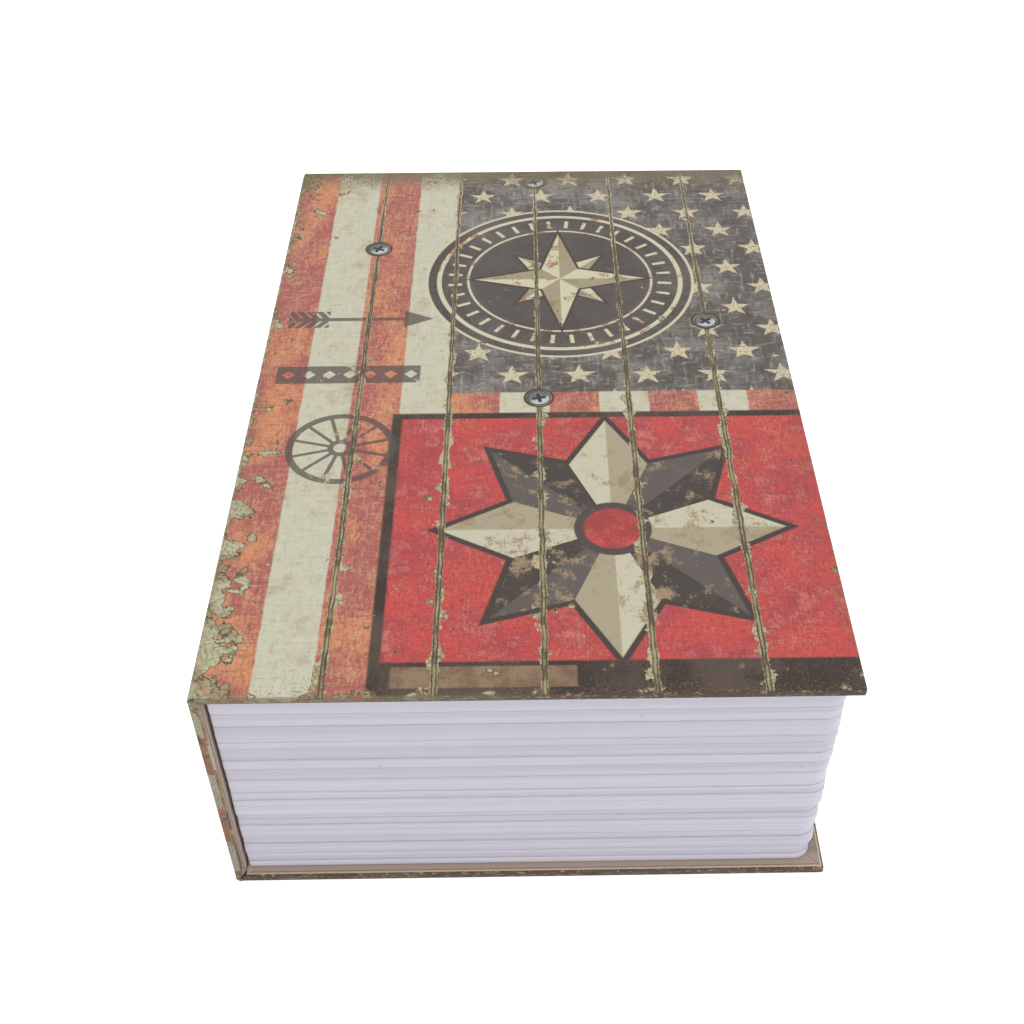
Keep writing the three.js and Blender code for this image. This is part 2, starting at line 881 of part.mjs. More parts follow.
function lockPlug() {
  const face = lidTop + seatGap + lockHeadHeight - plugRecess;
  const shoulder = face - plugHeadHeight;
  const plug = turned([
    [0, barrelEnd],
    [plugRadius, barrelEnd],
    [plugRadius, shoulder],
    [plugRadius + plugHeadLip, shoulder],
    [plugRadius + plugHeadLip, face],
    [0, face],
  ]);
  const half = tailSide / 2;
  const tail = upright(
    rectangle(-half, -half, half, half),
    camBottom + glueLine,
    barrelEnd + overrun,
  );
  const slot = [keywayWidth / 2, plugRadius - keywayWall];
  const keyway = upright(
    rectangle(-slot[0], -slot[1], slot[0], slot[1]),
    face - keywayDepth,
    face + overrun,
  );
  const thread = cylinder(
    camScrewRadius + holeClearance,
    camBottom - overrun,
    camBottom + camScrewLength,
    smallRoundSegments,
  );
  return plug.add(tail).subtract(keyway).subtract(thread);
}

function lockCam() {
  const hubRadius = tailSide * Math.SQRT1_2 + camHubWall;
  const reach = lockFromForeEdge - boxSheet - camWallGap;
  const tipDistance = reach - camTipRadius;
  const lean = Math.acos((hubRadius - camTipRadius) / tipDistance);
  const down = 1.5 * Math.PI;
  const shape = new THREE.Shape();
  shape.absarc(0, 0, hubRadius, down + lean - 2 * Math.PI, down - lean);
  shape.absarc(0, -tipDistance, camTipRadius, down - lean, down + lean);
  const half = tailSide / 2 + holeClearance;
  const hole = upright(
    rectangle(-half, -half, half, half),
    camBottom - overrun,
    camTop + overrun,
  );
  return upright(shape, camBottom, camTop, roundSegments / 4).subtract(hole);
}

function camScrew() {
  const seat = camBottom - seatGap;
  const headBottom = seat - camScrewHeadHeight;
  const headRadius = camScrewRadius + camScrewHeadLip;
  const end = camBottom + camScrewLength - seatGap;
  const profile = [
    [0, headBottom],
    [headRadius * crownShare, headBottom],
    [headRadius, headBottom + camScrewHeadHeight / 2],
    [headRadius, seat],
    [camScrewRadius, seat],
    [camScrewRadius, end],
    [0, end],
  ];
  const slot = screwSlot(headRadius, headBottom - overrun, headBottom + screwSlotDepth);
  return turned(profile, smallRoundSegments).subtract(slot);
}

function camLock() {
  const lock = new THREE.Group();
  lock.add(
    piece("lock_body", lockBody(), chromePlate),
    piece("lock_nut", lockNut(), zincSteel),
    piece("lock_plug", lockPlug(), chromePlate),
    piece("lock_cam", lockCam(), zincSteel),
    piece("cam_screw", camScrew(), zincSteel),
  );
  lock.position.x = lockX;
  return lock;
}

function screws(prefix, made, places) {
  return places.map(([x, y], i) => {
    const screw = piece(prefix + "_" + (i + 1), made, zincSteel);
    screw.position.set(x, y, 0);
    return screw;
  });
}

const bookSafe = new THREE.Group();
bookSafe.add(
  ...bookCase(),
  piece("page_block", pageBlock(), pageWhite),
  piece("base_plate", basePlate(), plainPlastic),
  ...screws("base_screw", baseScrew(), bossPlaces()),
  piece("lock_box", lockBox(), blackPaint),
  ...screws("box_screw", boxScrew(), boxScrewPlaces()),
  piece("strike_bracket", strikeBracket(), zincSteel),
  piece("hinge_rod", hingeRod(), zincSteel),
  piece("lid", lid(), blackPaint),
  camLock(),
);

export default bookSafe;
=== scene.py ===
"""Book diversion safe, lying closed on its back cover: the looks of every piece, for Blender 4.5.

Metres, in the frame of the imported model. The spine is at -X, the fore edge at +X, the tail edge
at -Y and the head edge at +Y. Sizes that come from a drawing are written in millimetres and
multiplied by MM.
"""

import math

import bpy
from mathutils import Matrix, Vector, noise


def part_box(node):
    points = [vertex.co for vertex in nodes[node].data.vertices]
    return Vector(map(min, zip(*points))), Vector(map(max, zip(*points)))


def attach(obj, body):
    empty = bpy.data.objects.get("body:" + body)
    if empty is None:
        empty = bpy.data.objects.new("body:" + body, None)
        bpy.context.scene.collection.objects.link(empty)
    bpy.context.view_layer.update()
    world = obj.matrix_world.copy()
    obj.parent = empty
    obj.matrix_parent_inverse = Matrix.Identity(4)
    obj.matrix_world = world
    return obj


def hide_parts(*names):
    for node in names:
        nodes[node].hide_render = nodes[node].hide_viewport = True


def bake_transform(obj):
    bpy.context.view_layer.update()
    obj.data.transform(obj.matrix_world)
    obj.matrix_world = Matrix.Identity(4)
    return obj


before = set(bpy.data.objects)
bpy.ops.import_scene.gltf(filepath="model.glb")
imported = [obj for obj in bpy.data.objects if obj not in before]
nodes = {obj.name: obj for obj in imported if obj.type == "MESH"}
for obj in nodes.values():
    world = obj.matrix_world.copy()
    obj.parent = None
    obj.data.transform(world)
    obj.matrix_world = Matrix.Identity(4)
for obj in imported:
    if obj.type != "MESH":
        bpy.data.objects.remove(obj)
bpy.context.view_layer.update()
MM = 0.001


# Camera. It stands over the tail edge and looks down on the front cover, as the photograph does.
# Its place, angles and lens were fitted to the straight edges of the book. The photograph was cut
# from a larger one, which the shift stands for.

camera_data = bpy.data.cameras.new("camera")
camera_data.sensor_width = 36
camera_data.lens = 48.33
camera_data.shift_x, camera_data.shift_y = -0.0309, 0.0494
camera_data.clip_start, camera_data.clip_end = 0.01, 20
camera = bpy.data.objects.new("camera", camera_data)
bpy.context.scene.collection.objects.link(camera)
bpy.context.scene.camera = camera

camera_place = (0.000631, -0.241256, 0.231562)
camera_turn = math.radians(-0.802)
camera_drop = math.radians(43.958)
camera_roll = math.radians(-0.146)
camera.matrix_world = (
    Matrix.Translation(camera_place)
    @ Matrix.Rotation(camera_turn, 4, "Z")
    @ Matrix.Rotation(math.pi / 2 - camera_drop, 4, "X")
    @ Matrix.Rotation(camera_roll, 4, "Z")
)


# Covers. Each is a greyboard panel wrapped in one printed, linen-embossed paper, whose edges turn
# over the board and are glued down inside. The three panels fold along the two edges of the spine.

cover_low, cover_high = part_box("front_cover_paper")
book_width = 2 * cover_high.x
book_length = 2 * cover_high.y
book_thickness = cover_high.z
wrap_thickness = cover_high.z - cover_low.z
wrap_fold = 0.4 * MM
fold_round = 1.2 * MM
fold_sheet = 0.3 * MM
fold_gap = 0.02 * MM
mitre_gap = 0.25 * MM
mitre_bevel = 0.1 * MM
mitre_length = 0.5 * MM
end_zone = 3 * MM
edge_steps = 4
edge_unevenness = 0.07 * MM
waves_along, waves_up = 90, 400
station_spacing = 4 * MM
crease_angle = math.radians(50)


def make_piece(name, points, faces, material, smooth=True):
    mesh = bpy.data.meshes.new(name)
    mesh.from_pydata([tuple(p) for p in points], [], faces)
    mesh.update()
    for face in mesh.polygons:
        face.use_smooth = smooth
    mesh.materials.append(material)
    made = bpy.data.objects.new(name, mesh)
    bpy.context.scene.collection.objects.link(made)
    return made


def lay_print(piece, places):
    """Gives each corner of each face its place on the flat printed sheet, in metres."""
    layer = piece.data.uv_layers.new(name="sheet")
    for corner, place in zip(layer.data, places):
        corner.uv = place


def end_stations(half_length, fold, steps):
    """Along Y: the place, how far the section has closed in, and the length along the sheet."""
    ends = []
    for i in range(steps + 1):
        angle = math.pi / 2 * i / steps
        ends.append(
            (
                half_length - fold + fold * math.sin(angle),
                fold * (1 - math.cos(angle)),
                half_length - fold + fold * angle,
            )
        )
    count = round(2 * (half_length - fold) / station_spacing)
    middle = [
        (place, 0, place)
        for place in (
            (2 * i / count - 1) * (half_length - fold) for i in range(1, count)
        )
    ]
    return [(-y, inset, -v) for y, inset, v in reversed(ends)] + middle + ends


def wrapped_section(width, second_hinge):
    """The outline of a covered panel across its length, from its first fold over the top, and
    the number of the side that lies inside the cover."""
    low = -wrap_thickness
    under_fold = fold_round + fold_gap + fold_sheet + fold_gap
    inner = (under_fold - mitre_gap) / 2
    hinge = [
        (fold_round + fold_gap, 0),
        (fold_round + fold_gap, -fold_sheet - fold_gap),
        (inner + mitre_gap, -inner),
        (mitre_gap - low - mitre_bevel, low + mitre_bevel),
        (mitre_gap - low + mitre_bevel, low),
    ]
    top_count = max(2, round(width / station_spacing))
    last = width - hinge[0][0] if second_hinge else width - wrap_fold
    top = [
        (hinge[0][0] + (last - hinge[0][0]) * i / top_count, 0)
        for i in range(1, top_count)
    ]
    if second_hinge:
        far = [(width - x, z) for x, z in hinge]
    else:
        far = []
        for turn, centre in ((0, -wrap_fold), (1, low + wrap_fold)):
            for i in range(edge_steps + 1):
                angle = math.pi / 2 * (1 - turn - i / edge_steps)
                x = width - wrap_fold + wrap_fold * math.cos(angle)
                far.append((x, centre + wrap_fold * math.sin(angle)))
    return [hinge[0], *top, *far, *reversed(hinge[1:])], len(top) + len(far)


def covered_panel(name, width, second_hinge, place, to_sheet, material, inside_material):
    """A covered board, drawn with its first fold on the Y axis and its print at z = 0."""
    section, inside_number = wrapped_section(width, second_hinge)
    lengths = [section[0][0]]
    for a, b in zip(section, section[1:]):
        lengths.append(lengths[-1] + math.dist(a, b))
    stations = end_stations(book_length / 2, wrap_fold, edge_steps)
    middle = -wrap_thickness / 2
    fore_edge = width - wrap_fold
    points = []
    for y, inset, _ in stations:
        for x, z in section:
            if not second_hinge and x > fore_edge:
                x = fore_edge + (x - fore_edge) * (1 - inset / wrap_fold)
                waves = noise.noise(Vector((x, y * waves_along, z * waves_up)))
                x -= edge_unevenness * abs(waves)
            elif x < end_zone:
                x += inset / 2
            elif second_hinge and x > width - end_zone:
                x -= inset / 2
            z = middle + (z - middle) * (1 - 2 * inset / wrap_thickness)
            points.append(place @ Vector((x, y, z)))
    count = len(section)
    faces, places = [], []
    for i in range(len(stations) - 1):
        near, far = i * count, (i + 1) * count
        for k in range(count):
            after = (k + 1) % count
            faces.append((near + k, near + after, far + after, far + k))
            after_length = lengths[after] if after else lengths[-1] + mitre_length
            for u, v in (
                (lengths[k], stations[i][2]),
                (after_length, stations[i][2]),
                (after_length, stations[i + 1][2]),
                (lengths[k], stations[i + 1][2]),
            ):
                places.append(to_sheet(u, v))
    for first, order in ((0, -1), ((len(stations) - 1) * count, 1)):
        ring = [first + k for k in range(count)]
        v = stations[0 if order < 0 else -1][2]
        faces.append(ring if order > 0 else ring[::-1])
        for k in range(count) if order > 0 else reversed(range(count)):
            places.append(to_sheet(section[k][0], v + order * -section[k][1]))
    piece = make_piece(name, points, faces, material)
    piece.data.materials.append(inside_material)
    flat_faces = range(edge_steps * count, (len(stations) - 1 - edge_steps) * count)
    for index in flat_faces[inside_number::count]:
        piece.data.polygons[index].material_index = 1
    piece.data.set_sharp_from_angle(angle=crease_angle)
    lay_print(piece, places)
    return piece


# Printed paper. The sheet is measured in millimetres from the front fold: the front cover runs
# from 0 to 115, the spine from -55 to 0 and the back cover from -170 to -55, with V along Y.


def feed(place, term):
    """Gives a node's input its value, which is plain or another node's output."""
    source = term.socket if isinstance(term, Amount) else term
    if isinstance(source, bpy.types.NodeSocket):
        place.id_data.links.new(source, place)
    else:
        place.default_value = source


class Amount:
    """A number that varies over a surface. Arithmetic on it adds Math nodes to its tree."""

    def __init__(self, socket):
        self.socket = socket
        self.tree = socket.id_data

    def reckon(self, operation, *terms):
        node = self.tree.nodes.new("ShaderNodeMath")
        node.operation = operation
        for place, term in zip(node.inputs, (self, *terms)):
            feed(place, term)
        return Amount(node.outputs[0])

    def __add__(self, other):
        return self.reckon("ADD", other)

    def __sub__(self, other):
        return self.reckon("SUBTRACT", other)

    def __mul__(self, other):
        return self.reckon("MULTIPLY", other)

    def __mod__(self, other):
        return self.reckon("FLOORED_MODULO", other)

    def __abs__(self):
        return self.reckon("ABSOLUTE")

    def __neg__(self):
        return self * -1

    def __rsub__(self, other):
        return -self + other

    def rise(self, low, high):
        """0 up to low and 1 from high on, with a soft edge; low may be the greater."""
        node = self.tree.nodes.new("ShaderNodeMapRange")
        node.interpolation_type = "SMOOTHSTEP"
        for place, term in zip(node.inputs, (self, low, high)):
            feed(place, term)
        return Amount(node.outputs[0])

    def least(self, other):
        return self.reckon("MINIMUM", other)

    def most(self, other):
        return self.reckon("MAXIMUM", other)

    def within(self, half, soft):
        """1 where this is nearer to nothing than half, with a soft edge."""
        return abs(self).rise(half + soft, half - soft)


def spot(x, y, z=0.0):
    node = x.tree.nodes.new("ShaderNodeCombineXYZ")
    for place, term in zip(node.inputs, (x, y, z)):
        feed(place, term)
    return node.outputs[0]


def millimetres(place, axes=3):
    """The first coordinates of a place in metres, each in millimetres."""
    node = place.id_data.nodes.new("ShaderNodeSeparateXYZ")
    feed(node.inputs[0], place)
    return [Amount(output) * 1000 for output in node.outputs[:axes]]


def cloud(place, scale=1.0, detail=2.0, roughness=0.5):
    """Soft noise, about 0.5 on the whole."""
    node = place.id_data.nodes.new("ShaderNodeTexNoise")
    feed(node.inputs["Vector"], place)
    node.inputs["Scale"].default_value = scale
    node.inputs["Detail"].default_value = detail
    node.inputs["Roughness"].default_value = roughness
    return Amount(node.outputs[0])


def ink(red, green, blue):
    """A colour as it is seen, from 0 to 255, in the linear values that nodes take."""

    def linear(value):
        value /= 255
        return value / 12.92 if value <= 0.04045 else ((value + 0.055) / 1.055) ** 2.4

    return (linear(red), linear(green), linear(blue), 1)


def over(under, top, amount):
    """The colour under, covered with the top one by an amount from 0 to 1."""
    node = amount.tree.nodes.new("ShaderNodeMix")
    node.data_type = "RGBA"
    colour_inputs = [i for i in node.inputs if i.type == "RGBA"]
    feed(node.inputs[0], amount)
    feed(colour_inputs[0], under)
    feed(colour_inputs[1], top)
    return next(o for o in node.outputs if o.type == "RGBA")


def distance(x, y):
    return (x * x + y * y).reckon("SQRT")


def star(x, y, radius, points, waist, turn=0.0):
    """A pointed star round the origin. Returns how far outside its outline a place is, which side
    of the nearest point's ridge it is on, from -1 to 1, and the number of that point."""
    slice_angle = 2 * math.pi / points
    angle = x.reckon("ARCTAN2", y) + (turn + slice_angle / 2)
    folded = angle % slice_angle - slice_angle / 2
    number = (angle * (1 / slice_angle)).reckon("FLOOR")
    reach = distance(x, y)
    along = reach * folded.reckon("COSINE")
    aside = reach * abs(folded).reckon("SINE")
    waist_x = waist * radius * math.cos(slice_angle / 2)
    waist_y = waist * radius * math.sin(slice_angle / 2)
    edge = math.hypot(radius - waist_x, waist_y)
    outside = (along - radius) * (waist_y / edge) + aside * ((radius - waist_x) / edge)
    ridge = folded.rise(-0.02, 0.02) * 2 - 1
    return outside, ridge, number


def start_material(name, roughness, metallic=0.0):
    """A new material and its surface shader."""
    material = bpy.data.materials.new(name)
    material.use_nodes = True
    shader = material.node_tree.nodes["Principled BSDF"]
    shader.inputs["Roughness"].default_value = roughness
    shader.inputs["Metallic"].default_value = metallic
    return material, shader


def raise_surface(shader, height, depth, strength):
    """Embosses a height from 0 to 1 that stands for that many metres."""
    node = shader.id_data.nodes.new("ShaderNodeBump")
    node.inputs["Strength"].default_value = strength
    node.inputs["Distance"].default_value = depth
    feed(node.inputs["Height"], height)
    shader.id_data.links.new(node.outputs[0], shader.inputs["Normal"])


printed_paper, paper_shader = start_material("printed_paper", 0.5)
paper_shader.inputs["Specular IOR Level"].default_value = 0.28
sheet_map = paper_shader.id_data.nodes.new("ShaderNodeUVMap")
sheet_map.uv_map = "sheet"
across, along = millimetres(sheet_map.outputs[0], 2)

# The sheet's half sizes, from the middle of the spine: to a fold, to an end and to a fore edge
half_spine = 27.5
half_length = 90
half_sheet = 142.5
from_spine = across + half_spine
on_front = from_spine.rise(-0.1, 0.1)

# Linen threads, brush marks and the blotches that every ink shares
upright_threads = cloud(spot(across * 3.2, along * 0.3), 1, 3, 0.6)
level_threads = cloud(spot(across * 0.3, along * 3.2), 1, 3, 0.6)
threads = upright_threads * 0.5 + level_threads * 0.5
grain = cloud(spot(across, along, 4.0), 2.2, 2, 0.7)
brushing = cloud(spot(across * 1.8, along * 0.7, 6.0), 1, 4, 0.7)
blotches = cloud(spot(across, along), 0.07, 4, 0.6)
stains = cloud(spot(across, along, 7.0), 0.23, 5, 0.65)
specks = cloud(spot(across, along, 3.0), 1.7, 3, 0.6)
wobble = cloud(spot(across * 0.2, along * 0.2, 11.0), 1, 3, 0.6) - 0.5
mottling = brushing * 0.5 + threads * 0.5 + grain * 0.5
upright_dashes = cloud(spot(across * 1.1, along * 0.25, 8.0), 1, 2, 0.5)
level_dashes = cloud(spot(across * 0.3, along * 1.1, 9.0), 1, 2, 0.5)
rubbed = upright_dashes.most(level_dashes).rise(0.56, 0.7)
unrubbed = upright_dashes.least(level_dashes).rise(0.43, 0.3)

# Stripes: brick red and cream, along the book
stripe_pitch = 20.9
half_stripe = stripe_pitch / 4
from_stripe = abs((across + wobble * 0.5 + half_stripe) % stripe_pitch - stripe_pitch / 2)
in_red = from_stripe.rise(half_stripe + 0.2, half_stripe - 0.2)
washes = cloud(spot(across * 0.12, along * 0.045, 17.0), 1, 2)
orange_share = (washes * 0.8 + blotches * 0.4 + brushing * 0.3).rise(0.7, 0.88)
red_paint = over(ink(168, 94, 88), ink(202, 132, 94), orange_share)
red_paint = over(red_paint, ink(214, 166, 126), (mottling + stains * 0.5).rise(0.96, 1.18) * 0.65)
red_paint = over(red_paint, ink(136, 82, 78), mottling.rise(0.73, 0.56) * 0.7)
red_paint = over(red_paint, ink(218, 172, 134), rubbed * 0.35)
red_paint = over(red_paint, ink(126, 76, 70), unrubbed * 0.5)
cream_paint = over(ink(199, 196, 174), ink(180, 167, 136), (blotches + stains).rise(1.0, 1.35))
cream_paint = over(cream_paint, ink(215, 208, 186), rubbed * 0.4)
cream_paint = over(cream_paint, ink(168, 160, 134), unrubbed * 0.4)
cream_paint = over(cream_paint, ink(176, 168, 140), mottling.rise(0.72, 0.58) * 0.4)
sheet_colour = over(cream_paint, red_paint, in_red)

# Charcoal field with rows of small stars, at the head of both covers
field_left = 42.0
in_field = (
    across.rise(field_left - 0.3, field_left + 0.3) + across.rise(-127.7, -128.3)
) * along.rise(-6.3, -5.7)
field_paint = over(ink(88, 82, 77), ink(132, 128, 122), (blotches + stains * 0.5).rise(0.64, 0.95))
field_paint = over(field_paint, ink(172, 166, 158), rubbed * 0.5)
field_paint = over(field_paint, ink(66, 58, 54), unrubbed * 0.6)
field_paint = over(field_paint, ink(68, 60, 56), mottling.rise(0.74, 0.58) * 0.7)
star_pitch = 7.3
star_row = 17.0
column = (across * (1 / star_pitch)).reckon("FLOOR")
star_x = across % star_pitch - star_pitch / 2
star_y = (along + column % 2 * (star_row / 2)) % star_row - star_row / 2
star_edge, _, _ = star(star_x, star_y, 3.5, 5, 0.4)
in_star = (star_edge + (stains - 0.5) * 1.2).rise(0.2, -0.15)
star_paint = over(ink(206, 196, 166), ink(162, 146, 114), specks.rise(0.5, 0.62))
field_paint = over(field_paint, star_paint, in_star)
sheet_colour = over(sheet_colour, field_paint, in_field)

# Quilt block: an eight-pointed star in cream and slate on a red ground, at the tail of the front
quilt_x = across - 74
quilt_y = along + 49
in_quilt = across.rise(29.7, 30.3) * along.rise(-12.7, -13.3)
quilt_paint = over(ink(196, 76, 72), ink(166, 66, 74), (blotches + stains * 0.6).rise(0.65, 0.95))
quilt_paint = over(quilt_paint, ink(206, 104, 108), (stains + blotches * 0.7).rise(0.88, 1.1) * 0.7)
quilt_paint = over(quilt_paint, ink(206, 130, 98), (mottling + stains * 0.5).rise(1.0, 1.2) * 0.8)
quilt_paint = over(quilt_paint, ink(128, 50, 50), mottling.rise(0.73, 0.56) * 0.7)
quilt_paint = over(quilt_paint, ink(132, 56, 52), unrubbed * 0.4)
quilt_edge, quilt_ridge, quilt_point = star(quilt_x, quilt_y, 33, 8, 0.62)
diamond_light = over(ink(198, 192, 168), ink(168, 158, 132), quilt_ridge.rise(-0.5, 0.5))
diamond_dark = over(ink(92, 84, 80), ink(66, 58, 54), quilt_ridge.rise(-0.5, 0.5))
diamond = over(diamond_light, diamond_dark, quilt_point % 2)
diamond = over(diamond, ink(158, 136, 108), (stains + mottling * 0.5).rise(0.9, 1.05))
quilt_paint = over(quilt_paint, ink(64, 53, 48), quilt_edge.rise(1.4, 1.0))
quilt_paint = over(quilt_paint, diamond, quilt_edge.rise(0.2, -0.2))
quilt_middle = distance(quilt_x, quilt_y)
quilt_paint = over(quilt_paint, ink(76, 66, 62), quilt_middle.rise(7.6, 7.2))
hub_paint = over(ink(200, 84, 76), ink(158, 62, 60), (stains + mottling * 0.6).rise(0.75, 1.0))
quilt_paint = over(quilt_paint, hub_paint, quilt_middle.rise(5.8, 5.4))
in_frame = along.rise(-15.2, -14.6).most(along.rise(-82.2, -82.8)).most(across.rise(32.4, 31.8))
frame_paint = over(ink(50, 38, 32), ink(80, 66, 58), (blotches + mottling * 0.5).rise(0.75, 1.0))
quilt_paint = over(quilt_paint, frame_paint, in_frame)
in_band = (along + 86).within(2.4, 0.2) * (across - 50).within(16, 0.3)
band_paint = over(ink(118, 92, 68), ink(142, 120, 96), (stains + mottling * 0.6).rise(0.8, 1.05))
quilt_paint = over(quilt_paint, band_paint, in_band)
sheet_colour = over(sheet_colour, quilt_paint, in_quilt)

# Compass rose in a charcoal roundel, on the front and in the middle of the back
front_rose_x, front_rose_y = 66, 38
back_rose_x = -112.5
rose_x = across - (on_front * (front_rose_x - back_rose_x) + back_rose_x)
rose_y = along - on_front * front_rose_y
rose_reach = distance(rose_x, rose_y)
charcoal = over(ink(70, 63, 59), ink(96, 90, 84), (blotches + mottling * 0.5).rise(0.72, 1.05))
rim_cream = ink(204, 198, 172)
worn_cream = over(ink(206, 200, 172), ink(162, 122, 86), (stains + specks * 0.35).rise(0.74, 0.8))
rose_paint = over(charcoal, ink(112, 105, 98), rubbed * 0.3)
rose_rings = (rose_reach - 28.3).within(0.55, 0.15).most((rose_reach - 21.5).within(0.3, 0.15))
rose_angle = rose_x.reckon("ARCTAN2", rose_y)
tick_pitch = math.pi / 18
from_tick = (rose_angle % tick_pitch - tick_pitch / 2) * rose_reach
ticks = from_tick.within(0.45, 0.12) * (rose_reach - 24.6).within(1.6, 0.15)


def two_tone(ridge):
    """The worn cream of a star's points, shaded on one side of each ridge."""
    return over(worn_cream, ink(140, 126, 98), ridge.rise(-0.5, 0.5) * 0.75)


small_edge, small_ridge, _ = star(rose_x, rose_y, 14, 4, 0.36, math.pi / 4)
great_edge, great_ridge, _ = star(rose_x, rose_y, 20, 4, 0.3)
rose_paint = over(rose_paint, worn_cream, rose_rings.most(ticks))
rose_paint = over(rose_paint, ink(78, 70, 67), rose_reach.rise(20.6, 20.2) * 0.6)
for edge, ridge in ((small_edge, small_ridge), (great_edge, great_ridge)):
    rose_paint = over(rose_paint, ink(62, 55, 52), edge.rise(0.7, 0.5))
    rose_paint = over(rose_paint, two_tone(ridge), edge.rise(0.15, -0.15))
sheet_colour = over(sheet_colour, rim_cream, rose_reach.rise(31.7, 31.4))
sheet_colour = over(sheet_colour, rose_paint, rose_reach.rise(31.0, 30.7))

# Star in a charcoal roundel, in the middle of the spine
spine_reach = distance(from_spine, along)
spine_edge, spine_ridge, _ = star(from_spine, along, 12.5, 5, 0.42)
spine_paint = over(charcoal, worn_cream, (spine_reach - 15.2).within(0.5, 0.15))
spine_paint = over(spine_paint, two_tone(spine_ridge), spine_edge.rise(0.15, -0.15))
sheet_colour = over(sheet_colour, rim_cream, spine_reach.rise(18.6, 18.3))
sheet_colour = over(sheet_colour, spine_paint, spine_reach.rise(17.9, 17.6))

# Small charcoal marks by the fold: a feathered arrow, a bar of diamonds and a spoked wheel
arrow_x = across - 20.5
arrow_y = abs(along - 22)
shaft = arrow_y.rise(0.75, 0.5) * arrow_x.within(13.5, 0.2)
head = (arrow_y + (arrow_x - 16.5) * 0.5).rise(0.15, -0.15) * arrow_x.rise(9.9, 10.1)
vanes = (arrow_x + arrow_y * 0.7) % 2.2
feathers = arrow_y.rise(3.3, 3.1) * vanes.rise(0.5, 0.8) * (arrow_x + 11.6).within(4.6, 0.1)
bar_y = along - 1
bar = (across - 19.5).within(15.5, 0.15) * bar_y.within(3.1, 0.15)
diamonds = (abs(across % 4.4 - 2.2) + abs(bar_y)).rise(1.55, 1.35)
wheel_x = across - 20
wheel_y = along + 24
wheel_reach = distance(wheel_x, wheel_y)
spoke_pitch = math.pi / 6
from_spoke = (wheel_x.reckon("ARCTAN2", wheel_y) % spoke_pitch - spoke_pitch / 2) * wheel_reach
spokes = from_spoke.within(0.4, 0.12) * (wheel_reach - 6).within(4, 0.2)
rims = (wheel_reach - 10.4).within(0.75, 0.12).most((wheel_reach - 2).within(0.6, 0.12))
marks = shaft.most(head).most(feathers).most(bar - bar * diamonds).most(spokes).most(rims)
marks = marks * (stains + specks * 0.3).rise(0.82, 0.74)
sheet_colour = over(sheet_colour, ink(82, 72, 68), marks * 0.85)

# Planks: painted gaps every 19 mm, a dark line on each side, with chips that grow to the tail
plank_width = 19.0
gap_side = (across + wobble * 0.9 + (plank_width / 2 - 22.5)) % plank_width - plank_width / 2
on_planks = across.rise(9, 10).most(across.rise(-9, -10))
to_tail = along.rise(80, -95)
chips = cloud(spot(across * 0.3, along * 0.2, 5.0), 1, 4, 0.65).rise(0.49, 0.78)
ragged = (cloud(spot(across, along, 2.0), 0.9, 3) - 0.5) * 0.6
chip_reach = chips * (to_tail * 2.7 + 0.4) + to_tail * 0.16 + 0.44
past_chip = abs(gap_side) - chip_reach * (ragged + 1)
chipped = past_chip.rise(0.08, -0.08) * on_planks
chip_paint = over(ink(188, 180, 148), ink(148, 134, 100), (specks + stains * 0.5).rise(0.66, 0.82))
chip_rim = past_chip.within(0.07, 0.08) * on_planks * (stains + chips * 0.4).rise(0.45, 0.6)
gap_half = along.rise(100, 0) * 0.26 + to_tail * 0.1
gap_lines = (abs(gap_side + ragged * 0.2) - gap_half).within(0.15, 0.08) * on_planks
in_gap = (abs(gap_side) - gap_half).rise(0.05, -0.05) * on_planks
gap_wear = upright_dashes * 0.7 + stains * 0.5 + specks * 0.3
gap_paint = over(ink(162, 150, 116), ink(96, 82, 60), gap_wear.rise(0.66, 0.88))
sheet_colour = over(sheet_colour, chip_paint, chipped)
sheet_colour = over(sheet_colour, ink(84, 72, 54), chip_rim * 0.75)
sheet_colour = over(sheet_colour, gap_paint, in_gap)
gap_dark = stains.rise(0.36, 0.52) * 0.25 + 0.68
sheet_colour = over(sheet_colour, ink(66, 56, 42), gap_lines * gap_dark)

# Painted screw heads that seem to hold the planks
screw_heads = ((60.5, 84, 0.3), (22.5, 52, 1.1), (98.5, 20, 0.7), (60.5, -8, 0.2))
for screw_u, screw_v, slot_turn in screw_heads:
    screw_x = across - screw_u
    screw_y = along - screw_v
    screw_reach = distance(screw_x, screw_y)
    slot_x = screw_x * math.cos(slot_turn) + screw_y * math.sin(slot_turn)
    slot_y = screw_y * math.cos(slot_turn) - screw_x * math.sin(slot_turn)
    cross = abs(slot_x).least(abs(slot_y)).rise(0.5, 0.3) * screw_reach.rise(1.6, 1.4)
    glint = (screw_x - screw_y * 2 + stains * 4).rise(1, 4)
    steel = over(ink(106, 112, 110), ink(182, 194, 196), glint)
    steel = over(steel, ink(46, 44, 46), cross)
    sheet_colour = over(sheet_colour, ink(52, 44, 42), screw_reach.rise(3.4, 3.1))
    washer = over(ink(146, 132, 100), ink(104, 84, 62), (stains + mottling * 0.5).rise(0.75, 0.95))
    sheet_colour = over(sheet_colour, washer, screw_reach.rise(2.9, 2.7))
    sheet_colour = over(sheet_colour, ink(58, 50, 44), screw_reach.rise(2.5, 2.35))
    sheet_colour = over(sheet_colour, steel, screw_reach.rise(2.3, 2.1))

